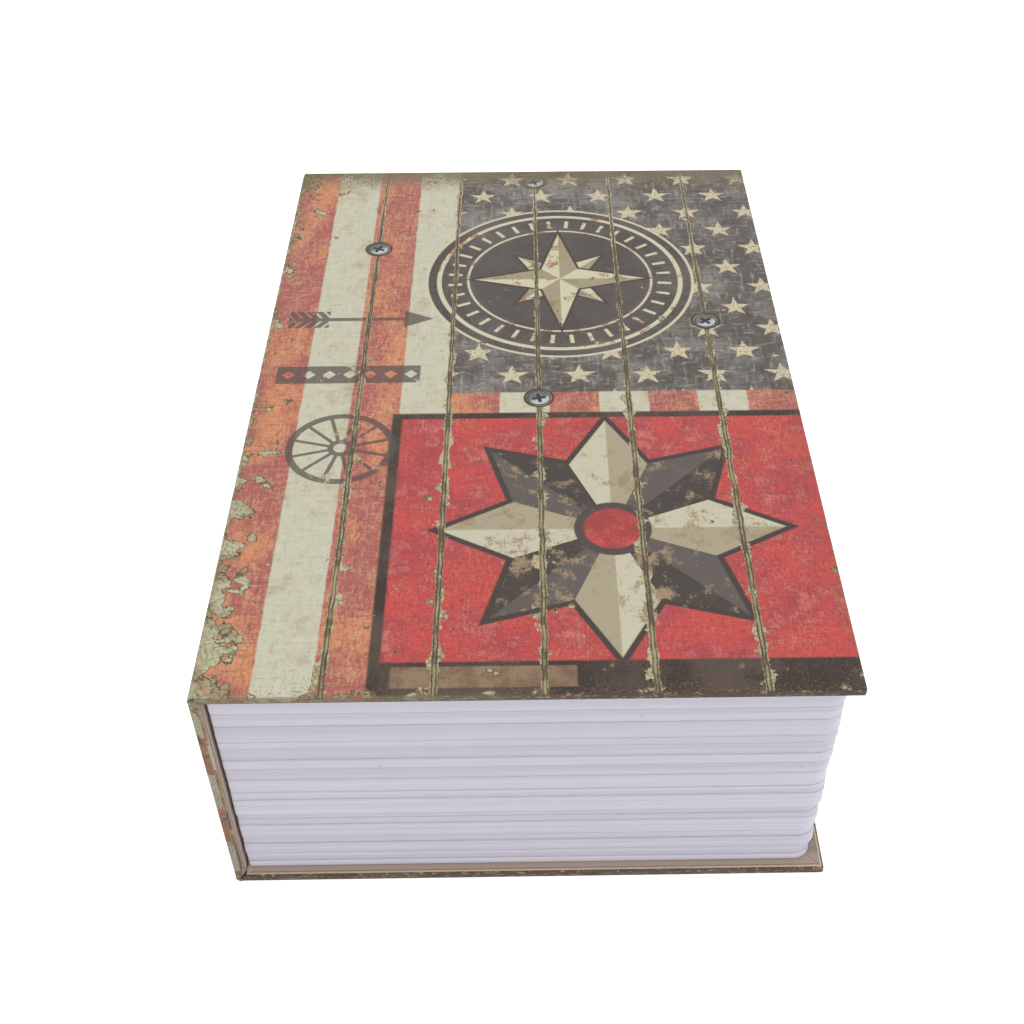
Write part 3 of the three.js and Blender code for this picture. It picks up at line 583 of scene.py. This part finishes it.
# Peeled paint: green-grey ground with a dark crinkled outline, mostly by the fold near the tail
from_middle = abs(from_spine)
past_fold = from_middle - half_spine
to_edge = (half_length - abs(along)).least(half_sheet - from_middle)
by_fold = past_fold.rise(11, -1) * past_fold.rise(-5, -1)
fold_wear = by_fold * (along.rise(0, -80) * 0.26 + along.rise(58, 86) * 0.27 + 0.1) - 0.03
fold_wear = fold_wear + past_fold.rise(1.8, 0) * past_fold.rise(-5, -1) * 0.12
on_spine_panel = across.rise(-54.5, -54).least(across.rise(-0.5, -1))
to_front_tail = across.rise(75, 30)
edge_wear = to_edge.rise(2.4, -0.4) * (to_front_tail * 0.07 - on_spine_panel * 0.1 + 0.1)
crinkle = cloud(spot(across, along, 9.0), 0.22, 4, 0.5)
wear = crinkle + fold_wear + edge_wear + (grain - 0.5) * 0.02
peeled = wear.rise(0.665, 0.673)
outline = (wear - 0.669).within(0.013, 0.008)
curls = abs(cloud(spot(across, along, 13.0), 0.55, 3, 0.55) - 0.5)
clustered = cloud(spot(across, along, 15.0), 0.16, 2).rise(0.44, 0.56)
ground = over(ink(188, 187, 156), ink(154, 136, 104), clustered * 0.85)
ground = over(ground, ink(182, 130, 98), (brushing + curls * 0.8).rise(0.58, 0.7) * 0.55)
ground = over(ground, ink(94, 82, 62), curls.rise(0.045, 0.015) * (clustered * 0.5 + 0.45))
sheet_colour = over(sheet_colour, ink(212, 176, 134), wear.rise(0.64, 0.66) * 0.45)
sheet_colour = over(sheet_colour, ground, peeled)
sheet_colour = over(sheet_colour, ink(76, 66, 50), outline * 0.9)

# Dirt: dark specks where the sheet was handled, and brown turned edges
handled = to_edge.least(abs(past_fold)).rise(7, 0) * 0.12 + (stains - 0.5) * 0.3
by_head = along.rise(77, 88) * across.rise(-22, 4)
handled = handled + by_head * 0.2
head_dirt = by_head * (stains + grain * 0.4).rise(0.48, 0.74)
head_dirt = head_dirt * (in_field.most(in_red) * -0.55 + 0.85)
sheet_colour = over(sheet_colour, ink(160, 145, 113), head_dirt)
dark_specks = (grain + handled).rise(0.63, 0.76) * (by_head * 0.2 + 0.6)
sheet_colour = over(sheet_colour, ink(106, 94, 70), dark_specks)
sheet_colour = over(sheet_colour, ink(216, 208, 184), specks.rise(0.3, 0.2) * 0.4)
sheet_colour = over(sheet_colour, ink(92, 82, 74), threads.rise(0.46, 0.3) * 0.35)
edge_flecks = cloud(spot(across * 0.6, along, 21.0), 1.6, 3, 0.6)
edge_paint = over(ink(76, 63, 55), ink(132, 119, 93), to_front_tail * on_front * 0.85)
pale_flecks = (edge_flecks + stains * 0.4).rise(0.76, 0.88)
brown_flecks = (edge_flecks - stains * 0.4).rise(0.24, 0.14)
edge_paint = over(edge_paint, ink(168, 156, 122), pale_flecks * 0.8)
edge_paint = over(edge_paint, ink(104, 68, 56), brown_flecks * 0.7)
edge_share = on_front * (0.06 - to_front_tail * 0.3) - on_spine_panel * 0.74 + 0.92
sheet_colour = over(sheet_colour, edge_paint, to_edge.rise(0.35, -0.2) * edge_share)
spine_dirt = to_edge.rise(1.2, -0.4) * on_spine_panel * 0.38
sheet_colour = over(sheet_colour, ink(94, 80, 52), spine_dirt)

feed(paper_shader.inputs["Base Color"], sheet_colour)
feed(paper_shader.inputs["Roughness"], peeled * 0.2 + threads * 0.15 + 0.42)
weave = ((across * 16).reckon("SINE") + (along * 16).reckon("SINE")) * 0.16
raise_surface(paper_shader, weave + threads * 1.2 - peeled * 0.5 - in_gap * 0.4, 0.06 * MM, 0.6)


def piece_spot(shader):
    """A place on the piece itself, in metres."""
    return shader.id_data.nodes.new("ShaderNodeTexCoord").outputs["Object"]


# Lining paper: taupe, with painted light that makes it paler by its ends and on the spine. Past its
# cut edge the turned-in paper shows as a pale margin, mitred at the corners
lining_paper, lining_shader = start_material("lining_paper", 0.8)
lining_spot = piece_spot(lining_shader)
lining_x, lining_y = millimetres(lining_spot, 2)
half_width = book_width / 2
lining_inset = 0.9
to_fore_edge = half_width / MM - lining_x
to_ends = book_length / 2 / MM - abs(lining_y)
to_board_edge = to_fore_edge.least(to_ends)
to_cut = to_board_edge - lining_inset
mitre = (to_fore_edge - to_ends).within(0.1, 0.12) * to_board_edge.rise(10, 8)
fibres = cloud(lining_spot, 900, 3, 0.6)
lining_clouds = cloud(lining_spot, 60, 3, 0.6)
lining_colour = over(ink(152, 137, 130), ink(142, 127, 120), lining_clouds.rise(0.35, 0.65))
# Painted light: the lining is made paler within a few millimetres of its ends
painted_light_by_ends = to_ends.rise(4.2, 2.8) * 0.8
lining_colour = over(lining_colour, ink(174, 155, 142), painted_light_by_ends)
# Painted light: the lining on the spine is made paler still
painted_light_on_spine = lining_x.rise(-54.2, -54.8)
lining_colour = over(lining_colour, ink(196, 178, 165), painted_light_on_spine * 0.8)
lining_colour = over(lining_colour, ink(170, 155, 145), fibres.rise(0.55, 0.7) * 0.6)
lining_colour = over(lining_colour, ink(122, 106, 94), to_cut.within(0.05, 0.07) * 0.45)
lining_colour = over(lining_colour, ink(112, 96, 86), mitre * 0.7)
turned_in = (to_board_edge + fibres * 0.3).rise(0.95, 0.75)
lining_colour = over(lining_colour, ink(208, 184, 156), turned_in * 0.9)
feed(lining_shader.inputs["Base Color"], lining_colour)
raise_surface(lining_shader, fibres - mitre, 0.02 * MM, 0.5)

# Each panel's body, its width, whether it folds at both sides, and its place on the sheet
panels = {
    "front": ("front_cover", book_width, False, lambda u, v: (u, v)),
    "spine": ("spine", book_thickness, True, lambda u, v: (u - book_thickness, v)),
    "back": ("safe_body", book_width, False, lambda u, v: (-book_thickness - u, -v)),
}
panel_places = {
    "front": Matrix.Translation((-half_width, 0, book_thickness)),
    "spine": Matrix.Translation((-half_width, 0, 0)) @ Matrix.Rotation(-math.pi / 2, 4, "Y"),
    "back": Matrix.Translation((-half_width, 0, 0)) @ Matrix.Rotation(math.pi, 4, "X"),
}
for side, (body, width, second_hinge, to_sheet) in panels.items():
    panel = covered_panel(
        side + "_covered_board",
        width,
        second_hinge,
        panel_places[side],
        to_sheet,
        printed_paper,
        lining_paper,
    )
    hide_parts(side + "_board", side + "_cover_paper")
    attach(panel, body)


# Folds. Between the panels the printed paper runs on round the bare edge, two layers thick, and
# it is all that joins the spine to the covers.

fold_steps = 10
fold_end_round = 0.12 * MM
fold_end_steps = 3

# The bodies that each fold joins, its outer corner, which way is inward, and where it starts on
# the sheet
hinge_folds = {
    "front": (("spine", "front_cover"), Vector((-half_width, 0, book_thickness)), -1, 0.0),
    "back": (("safe_body", "spine"), Vector((-half_width, 0, 0)), 1, -book_thickness),
}
fold_stations = end_stations(book_length / 2, fold_end_round, fold_end_steps)


def fold_place(side, index, sheet_start):
    """How far across the flat sheet a point of a fold's section lies."""
    share = index % (fold_steps + 1) / fold_steps
    if side == "front":
        return fold_round * (2 * share - 1) + sheet_start
    return fold_round * (1 - 2 * share) + sheet_start


for side, (bodies, corner, inward_z, sheet_start) in hinge_folds.items():
    centre = corner + Vector((fold_round, 0, inward_z * fold_round))
    points, faces, places = [], [], []
    for y, inset, _ in fold_stations:
        for radius in (fold_round - inset, fold_round - fold_sheet + inset):
            for i in range(fold_steps + 1):
                angle = math.pi / 2 * i / fold_steps
                x = -math.cos(angle) * radius
                z = -inward_z * math.sin(angle) * radius
                points.append(centre + Vector((x, y, z)))
    ring = 2 * (fold_steps + 1)
    outline_order = list(range(fold_steps + 1)) + list(range(ring - 1, fold_steps, -1))
    across_sheet = [fold_place(side, k, sheet_start) for k in range(ring)]
    for i in range(len(fold_stations) - 1):
        near, far = i * ring, (i + 1) * ring
        for a, b in zip(outline_order, outline_order[1:] + outline_order[:1]):
            faces.append((near + a, near + b, far + b, far + a))
            for index, station in ((a, i), (b, i), (b, i + 1), (a, i + 1)):
                places.append((across_sheet[index], fold_stations[station][2]))
    for station, order in ((0, 1), (len(fold_stations) - 1, -1)):
        end_order = outline_order[::order]
        faces.append([station * ring + k for k in end_order])
        places += [(across_sheet[k], fold_stations[station][2]) for k in end_order]
    if side == "front":
        faces = [face[::-1] for face in faces]
        turned_places, start = [], 0
        for face in faces:
            turned_places += places[start : start + len(face)][::-1]
            start += len(face)
        places = turned_places
    fold_paper = make_piece(side + "_fold_paper", points, faces, printed_paper)
    fold_paper.data.set_sharp_from_angle(angle=crease_angle)
    lay_print(fold_paper, places)
    on_spine = corner + Vector((0, 0, inward_z * fold_round))
    on_cover = corner + Vector((fold_round, 0, 0))
    ends = (on_spine, on_cover) if side == "front" else (on_cover, on_spine)
    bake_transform(fold_paper)


# Endpapers and spine lining. Plain taupe paper is glued inside the covers, over the turned-in
# edges of the printed paper. At the folds it dips into the groove between the boards.

for name in ("front_endpaper", "back_endpaper", "spine_lining"):
    nodes[name].data.materials.clear()
    nodes[name].data.materials.append(lining_paper)

groove_sheet = 0.09 * MM
groove_near = 1.05 * MM
groove_far = 2.0 * MM * math.sqrt(2)
groove_end = 1.2 * MM
groove_lift = 0.04 * MM
bend_reach = 0.03 * MM
half_groove = book_length / 2 - groove_end
for side, (bodies, corner, inward_z, _) in hinge_folds.items():
    inward = Vector((1, 0, inward_z)) / math.sqrt(2)
    aside = Vector((1, 0, -inward_z)) / math.sqrt(2)
    inner = groove_lift
    outer = groove_lift + groove_sheet
    section = [
        (-outer, groove_far),
        (-outer, groove_near + outer),
        (0, groove_near),
        (outer, groove_near + outer),
        (outer, groove_far),
        (inner, groove_far),
        (inner, groove_near + 2 * outer),
        (0, groove_near + groove_sheet * 1.5),
        (-inner, groove_near + 2 * outer),
        (-inner, groove_far),
    ]
    points = [
        corner + aside * a + inward * b + Vector((0, y, 0))
        for y in (-half_groove, half_groove)
        for a, b in section
    ]
    count = len(section)
    faces = [
        (k, (k + 1) % count, count + (k + 1) % count, count + k) for k in range(count)
    ]
    faces += [tuple(reversed(range(count))), tuple(range(count, 2 * count))]
    if side == "front":
        faces = [tuple(reversed(face)) for face in faces]
    groove = make_piece(side + "_fold_lining", points, faces, lining_paper, False)
    ends = (corner - aside * bend_reach, corner + aside * bend_reach)
    if side == "back":
        ends = ends[::-1]
    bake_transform(groove)


# Page block. A white plastic moulding stands in for the leaves. Its tail, fore edge and head copy
# the cut edges of some twenty gatherings, with finer lines for the leaves in each.

page_plastic, page_shader = start_material("page_plastic", 0.42)
page_x, page_y, page_z = millimetres(piece_spot(page_shader))
leaf_lines = cloud(spot(page_x * 0.006, page_y * 0.006, page_z * 2.6), 1, 3, 0.6)
leaf_bands = cloud(spot(page_x * 0.003, page_y * 0.003, page_z * 0.5), 1, 2, 0.5)
shade_node = page_shader.id_data.nodes.new("ShaderNodeAttribute")
shade_node.attribute_name = "leaf_tone_and_groove_shade"
leaf_tone_and_groove_shade = Amount(shade_node.outputs["Fac"])
page_colour = over(ink(217, 215, 226), ink(205, 202, 215), leaf_bands.rise(0.35, 0.65))
# Painted shade: darker where the leaf lines, embossed by the same noise, sink
page_colour = over(page_colour, ink(184, 180, 195), leaf_lines.rise(0.44, 0.3) * 0.4)
# Painted shade in the grooves between gatherings, with a random tone for each gathering
page_colour = over(page_colour, ink(150, 146, 162), leaf_tone_and_groove_shade)
page_specks = cloud(spot(page_x, page_y, page_z), 0.8, 2)
page_colour = over(page_colour, ink(120, 112, 118), page_specks.rise(0.8, 0.82) * 0.8)
feed(page_shader.inputs["Base Color"], page_colour)
raise_surface(page_shader, leaf_lines, 0.04 * MM, 0.4)

block = nodes["page_block"]
block_low, block_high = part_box("page_block")
leaf_corner = 3.2 * MM
leaf_row = 0.4 * MM
leaf_proud = 0.05 * MM
fore_edge_proud = 0.5 * MM
leaf_wall = 1.1 * MM
leaf_top = 0.04 * MM
leaf_start = 0.4 * MM
leaf_swell = 0.06 * MM
leaf_unevenness = 0.04 * MM
leaf_dark = 0.2
# Painted shade: how dark each groove between gatherings is painted
groove_painted_shade = 0.75
groove_reach = 0.16 * MM
deepest_square = 3.5 * MM
leaf_crease = math.radians(60)
end_steps = 25
corner_steps = 8
fore_edge_steps = 40

# The solid's levels, three to a gathering from its groove up, with its reach to the tail and to
# the fore edge at each
reach_at = {}
for vertex in block.data.vertices:
    place = vertex.co
    level = round(place.z, 6)
    tail, fore_edge = reach_at.get(level, (0, 0))
    reach_at[level] = (max(tail, -place.y), max(fore_edge, place.x))
leaf_levels = sorted(
    (level, reach)
    for level, reach in reach_at.items()
    if reach[0] > book_length / 2 - deepest_square
)


def even_noise(*place):
    """Smooth noise from 0 to 1."""
    return 0.5 + 0.5 * noise.noise(Vector(place))


def leaf_rows():
    """The skin's rows: each level and evenly spaced rows between. For each the height, the reach
    to the tail and to the fore edge, how dark it is painted (shade in a groove, a random tone
    elsewhere) and the number of its gathering."""
    rows = []
    spans = zip(leaf_levels, leaf_levels[1:])
    for number, ((low, low_reach), (high, high_reach)) in enumerate(spans):
        steps = max(2, math.ceil((high - low) / leaf_row))
        shares = [i / steps for i in range(steps)]
        groove_share = min(groove_reach / (high - low), 0.45 / steps)
        if number % 3 == 0:
            shares.insert(1, groove_share)
        if number % 3 == 2:
            shares.append(1 - groove_share)
        gathering = number // 3
        tone = even_noise(gathering * 7.3, 2.5, 0)
        for share in shares:
            reach = [a + (b - a) * share for a, b in zip(low_reach, high_reach)]
            in_groove = number % 3 == 0 and share == 0 and number
            # Painted shade in the groove at the foot of a gathering, a random tone elsewhere
            dark = groove_painted_shade if in_groove else leaf_dark * tone
            rows.append((low + (high - low) * share, reach, dark, gathering))
    rows.append((*leaf_levels[-1], 0, len(leaf_levels) // 3))
    return rows


def leaf_path(tail_reach, fore_edge_reach):
    """The plan of the block's three cut edges at one level: places and the directions out."""
    right = fore_edge_reach + fore_edge_proud - leaf_corner
    half = tail_reach - leaf_corner
    left = block_low.x + leaf_start
    tail = [(left + (right - left) * i / end_steps, -half, -90) for i in range(end_steps)]
    near_corner = [(right, -half, -90 + 90 * i / corner_steps) for i in range(corner_steps + 1)]
    fore_edge = [
        (right, -half + 2 * half * i / fore_edge_steps, 0) for i in range(1, fore_edge_steps)
    ]
    far_corner = [(right, half, 90 * i / corner_steps) for i in range(corner_steps + 1)]
    head = [(right - (right - left) * i / end_steps, half, 90) for i in range(1, end_steps + 1)]
    return [
        (Vector((x, y, 0)), Vector((math.cos(math.radians(a)), math.sin(math.radians(a)), 0)))
        for x, y, a in tail + near_corner + fore_edge + far_corner + head
    ]


leaf_skin_rows = leaf_rows()
points, shades = [], []
for z, reach, dark, gathering in leaf_skin_rows:
    z = min(z, block_high.z)
    height = z + leaf_top * (2 * (z - block_low.z) / (block_high.z - block_low.z) - 1)
    for index, (centre, out) in enumerate(leaf_path(*reach)):
        swell = leaf_swell * even_noise(index * 0.09, gathering * 3.7, 1)
        uneven = leaf_unevenness * even_noise(index * 0.03, 5, z * 5200)
        stand = leaf_corner + leaf_proud + swell + uneven
        points.append(centre + out * stand + Vector((0, 0, height)))
        shades.append(dark)
per_row = len(leaf_path(*leaf_skin_rows[0][1]))
row_count = len(leaf_skin_rows) - 1
faces = []
for row in range(row_count):
    for i in range(per_row - 1):
        a = row * per_row + i
        faces.append((a, a + 1, a + per_row + 1, a + per_row))
first_inner = len(points)
for row in (0, row_count):
    for i, (centre, out) in enumerate(leaf_path(*leaf_skin_rows[row][1])):
        height = points[row * per_row + i].z
        points.append(centre + out * (leaf_corner - leaf_wall) + Vector((0, 0, height)))
        shades.append(0)
top = row_count * per_row
for i in range(per_row - 1):
    low, high = first_inner + i, first_inner + per_row + i
    faces.append((low + 1, low, high, high + 1))
    faces.append((i + 1, i, low, low + 1))
    faces.append((top + i, top + i + 1, high + 1, high))
for i, order in ((0, 1), (per_row - 1, -1)):
    edge = [row * per_row + i for row in range(row_count + 1)]
    faces.append(([first_inner + i] + edge + [first_inner + per_row + i])[::order])
leaf_edges = make_piece("leaf_edges", points, faces, page_plastic)
leaf_edges.data.set_sharp_from_angle(angle=leaf_crease)
shade_layer = leaf_edges.data.attributes.new("leaf_tone_and_groove_shade", "FLOAT", "POINT")
for item, shade in zip(shade_layer.data, shades):
    item.value = shade
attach(leaf_edges, "safe_body")


# Carried-over solids get rounded shading: their split corners are welded, and only edges that
# turn more than a third of a right angle stay sharp, with a small bevel on the pressed steel.

weld_reach = 0.001 * MM
sharp_turn = math.radians(30)
bevel_turn = math.radians(40)
round_shading = bpy.data.node_groups.new("round_shading", "GeometryNodeTree")
round_shading.interface.new_socket("Geometry", in_out="INPUT", socket_type="NodeSocketGeometry")
round_shading.interface.new_socket("Geometry", in_out="OUTPUT", socket_type="NodeSocketGeometry")
group_in = round_shading.nodes.new("NodeGroupInput")
group_out = round_shading.nodes.new("NodeGroupOutput")
weld = round_shading.nodes.new("GeometryNodeMergeByDistance")
weld.inputs["Distance"].default_value = weld_reach
drop_normals = round_shading.nodes.new("GeometryNodeRemoveAttribute")
drop_normals.inputs["Name"].default_value = "custom_normal"
smooth_faces = round_shading.nodes.new("GeometryNodeSetShadeSmooth")
sharp_edges = round_shading.nodes.new("GeometryNodeSetShadeSmooth")
sharp_edges.domain = "EDGE"
sharp_edges.inputs["Shade Smooth"].default_value = False
edge_angle = round_shading.nodes.new("GeometryNodeInputMeshEdgeAngle")
is_sharp = round_shading.nodes.new("FunctionNodeCompare")
is_sharp.operation = "GREATER_THAN"
is_sharp.inputs[1].default_value = sharp_turn
for source, target in (
    (group_in.outputs[0], weld.inputs["Geometry"]),
    (weld.outputs["Geometry"], drop_normals.inputs["Geometry"]),
    (drop_normals.outputs["Geometry"], smooth_faces.inputs["Geometry"]),
    (smooth_faces.outputs["Geometry"], sharp_edges.inputs["Geometry"]),
    (edge_angle.outputs["Unsigned Angle"], is_sharp.inputs[0]),
    (is_sharp.outputs[0], sharp_edges.inputs["Selection"]),
    (sharp_edges.outputs["Geometry"], group_out.inputs[0]),
):
    round_shading.links.new(source, target)


def dress(name, material, bevel=0.0):
    """Gives a carried-over solid its finish."""
    node = nodes[name]
    node.data.materials.clear()
    node.data.materials.append(material)
    node.modifiers.new("round_shading", "NODES").node_group = round_shading
    if bevel:
        edges = node.modifiers.new("edges", "BEVEL")
        edges.width = bevel
        edges.segments = 2
        edges.limit_method = "ANGLE"
        edges.angle_limit = bevel_turn
        edges.harden_normals = True


dress("page_block", page_plastic)


# Base plate. It closes the moulding from below and carries the steel box on four bosses. It is
# plain white plastic, held by four countersunk self-tapping screws.

base_plastic, base_shader = start_material("base_plastic", 0.5)
base_spot = piece_spot(base_shader)
base_grain = cloud(base_spot, 1500, 2)
base_clouds = cloud(base_spot, 40, 3)
feed(
    base_shader.inputs["Base Color"],
    over(ink(216, 214, 220), ink(204, 202, 209), base_clouds.rise(0.35, 0.65)),
)
raise_surface(base_shader, base_grain, 0.01 * MM, 0.5)
dress("base_plate", base_plastic)

zinc_steel, zinc_shader = start_material("zinc_steel", 0.34, 1.0)
zinc_spot = piece_spot(zinc_shader)
zinc_clouds = cloud(zinc_spot, 220, 4, 0.6)
zinc_scratches = cloud(zinc_spot, 1400, 3, 0.7)
feed(
    zinc_shader.inputs["Base Color"],
    over(ink(190, 193, 196), ink(168, 170, 170), zinc_clouds.rise(0.35, 0.65)),
)
feed(zinc_shader.inputs["Roughness"], zinc_clouds * 0.25 + 0.22)
raise_surface(zinc_shader, zinc_scratches, 0.01 * MM, 0.4)
for i in range(1, 5):
    dress(f"base_screw_{i}", zinc_steel)


# Lock box. A pressed steel tray with a rim on three sides, powder-coated black, screwed down to
# the base plate. Its strike bracket is welded inside the fore-edge wall.

box_paint, paint_shader = start_material("box_paint", 0.42)
paint_spot = piece_spot(paint_shader)
orange_peel = cloud(paint_spot, 1300, 2)
paint_clouds = cloud(paint_spot, 90, 4, 0.6)
feed(
    paint_shader.inputs["Base Color"],
    over(ink(40, 40, 43), ink(50, 50, 54), (paint_clouds + orange_peel * 0.4).rise(0.55, 0.8)),
)
feed(paint_shader.inputs["Roughness"], paint_clouds * 0.2 + 0.34)
raise_surface(paint_shader, orange_peel, 0.03 * MM, 0.5)
sheet_edge = 0.15 * MM
strike_edge = 0.1 * MM
dress("lock_box", box_paint, sheet_edge)
for i in range(1, 5):
    dress(f"box_screw_{i}", zinc_steel)
dress("strike_bracket", zinc_steel, strike_edge)


# Lid. A steel plate with a skirt, powder-coated like the box, hung on a plain steel rod through
# knuckles rolled in turn from the box wall and from the lid.

dress("hinge_rod", zinc_steel)
dress("lid", box_paint, sheet_edge)


# Cam lock. A chromed zinc body with a nut behind the lid, a chromed plug with its keyway, and a
# zinc-plated cam screwed to the plug's tail.

lock_chrome, chrome_shader = start_material("lock_chrome", 0.16, 1.0)
chrome_haze = cloud(piece_spot(chrome_shader), 500, 3, 0.6)
feed(
    chrome_shader.inputs["Base Color"],
    over(ink(218, 220, 223), ink(200, 202, 206), chrome_haze.rise(0.4, 0.7)),
)
feed(chrome_shader.inputs["Roughness"], chrome_haze * 0.18 + 0.08)
lock_edge = 0.08 * MM
plug_edge = 0.06 * MM
dress("lock_body", lock_chrome, lock_edge)
dress("lock_plug", lock_chrome, plug_edge)
dress("lock_nut", zinc_steel, lock_edge)
dress("lock_cam", zinc_steel, lock_edge)
dress("cam_screw", zinc_steel)


# Stage: a white floor that keeps the book's shadow, an even white sky and three wide soft lamps,
# over the book, in front of it and at its fore edge.

floor_glow = 0.62
floor_size = 6.0
floor_drop = 0.02 * MM


def in_view(tree):
    """1 for what the camera sees, straight or mirrored in metal."""
    path = tree.nodes.new("ShaderNodeLightPath")
    return Amount(path.outputs["Is Camera Ray"]).most(Amount(path.outputs["Is Glossy Ray"]))


floor_paint, floor_shader = start_material("floor_paint", 0.9)
floor_shader.inputs["Base Color"].default_value = (0.8, 0.8, 0.8, 1)
floor_shader.inputs["Emission Color"].default_value = (1, 1, 1, 1)
feed(floor_shader.inputs["Emission Strength"], in_view(floor_paint.node_tree) * floor_glow)
floor = make_piece(
    "floor",
    [
        (-floor_size, -floor_size, 0),
        (floor_size, -floor_size, 0),
        (floor_size, floor_size, 0),
        (-floor_size, floor_size, 0),
    ],
    [(0, 1, 2, 3)],
    floor_paint,
    False,
)
floor.location.z = -floor_drop

world = bpy.data.worlds.new("sky")
bpy.context.scene.world = world
world.use_nodes = True
sky = world.node_tree.nodes["Background"]
sky.inputs["Color"].default_value = (1, 1, 1, 1)
sky_level = 0.5
feed(sky.inputs["Strength"], in_view(world.node_tree) * (1 - sky_level) + sky_level)

for name, place, size, power in (
    ("overhead_lamp", (0.1, 0.25, 1.3), 1.2, 5.7),
    ("front_lamp", (-0.3, -1.0, 1.15), 0.9, 5.8),
    ("side_lamp", (1.1, -0.45, 0.55), 0.7, 4.0),
):
    lamp_data = bpy.data.lights.new(name, "AREA")
    lamp_data.size = size
    lamp_data.energy = power
    lamp = bpy.data.objects.new(name, lamp_data)
    lamp.location = place
    lamp.rotation_euler = (-Vector(place)).to_track_quat("-Z", "Y").to_euler()
    bpy.context.scene.collection.objects.link(lamp)

bpy.context.scene.view_settings.view_transform = "Standard"
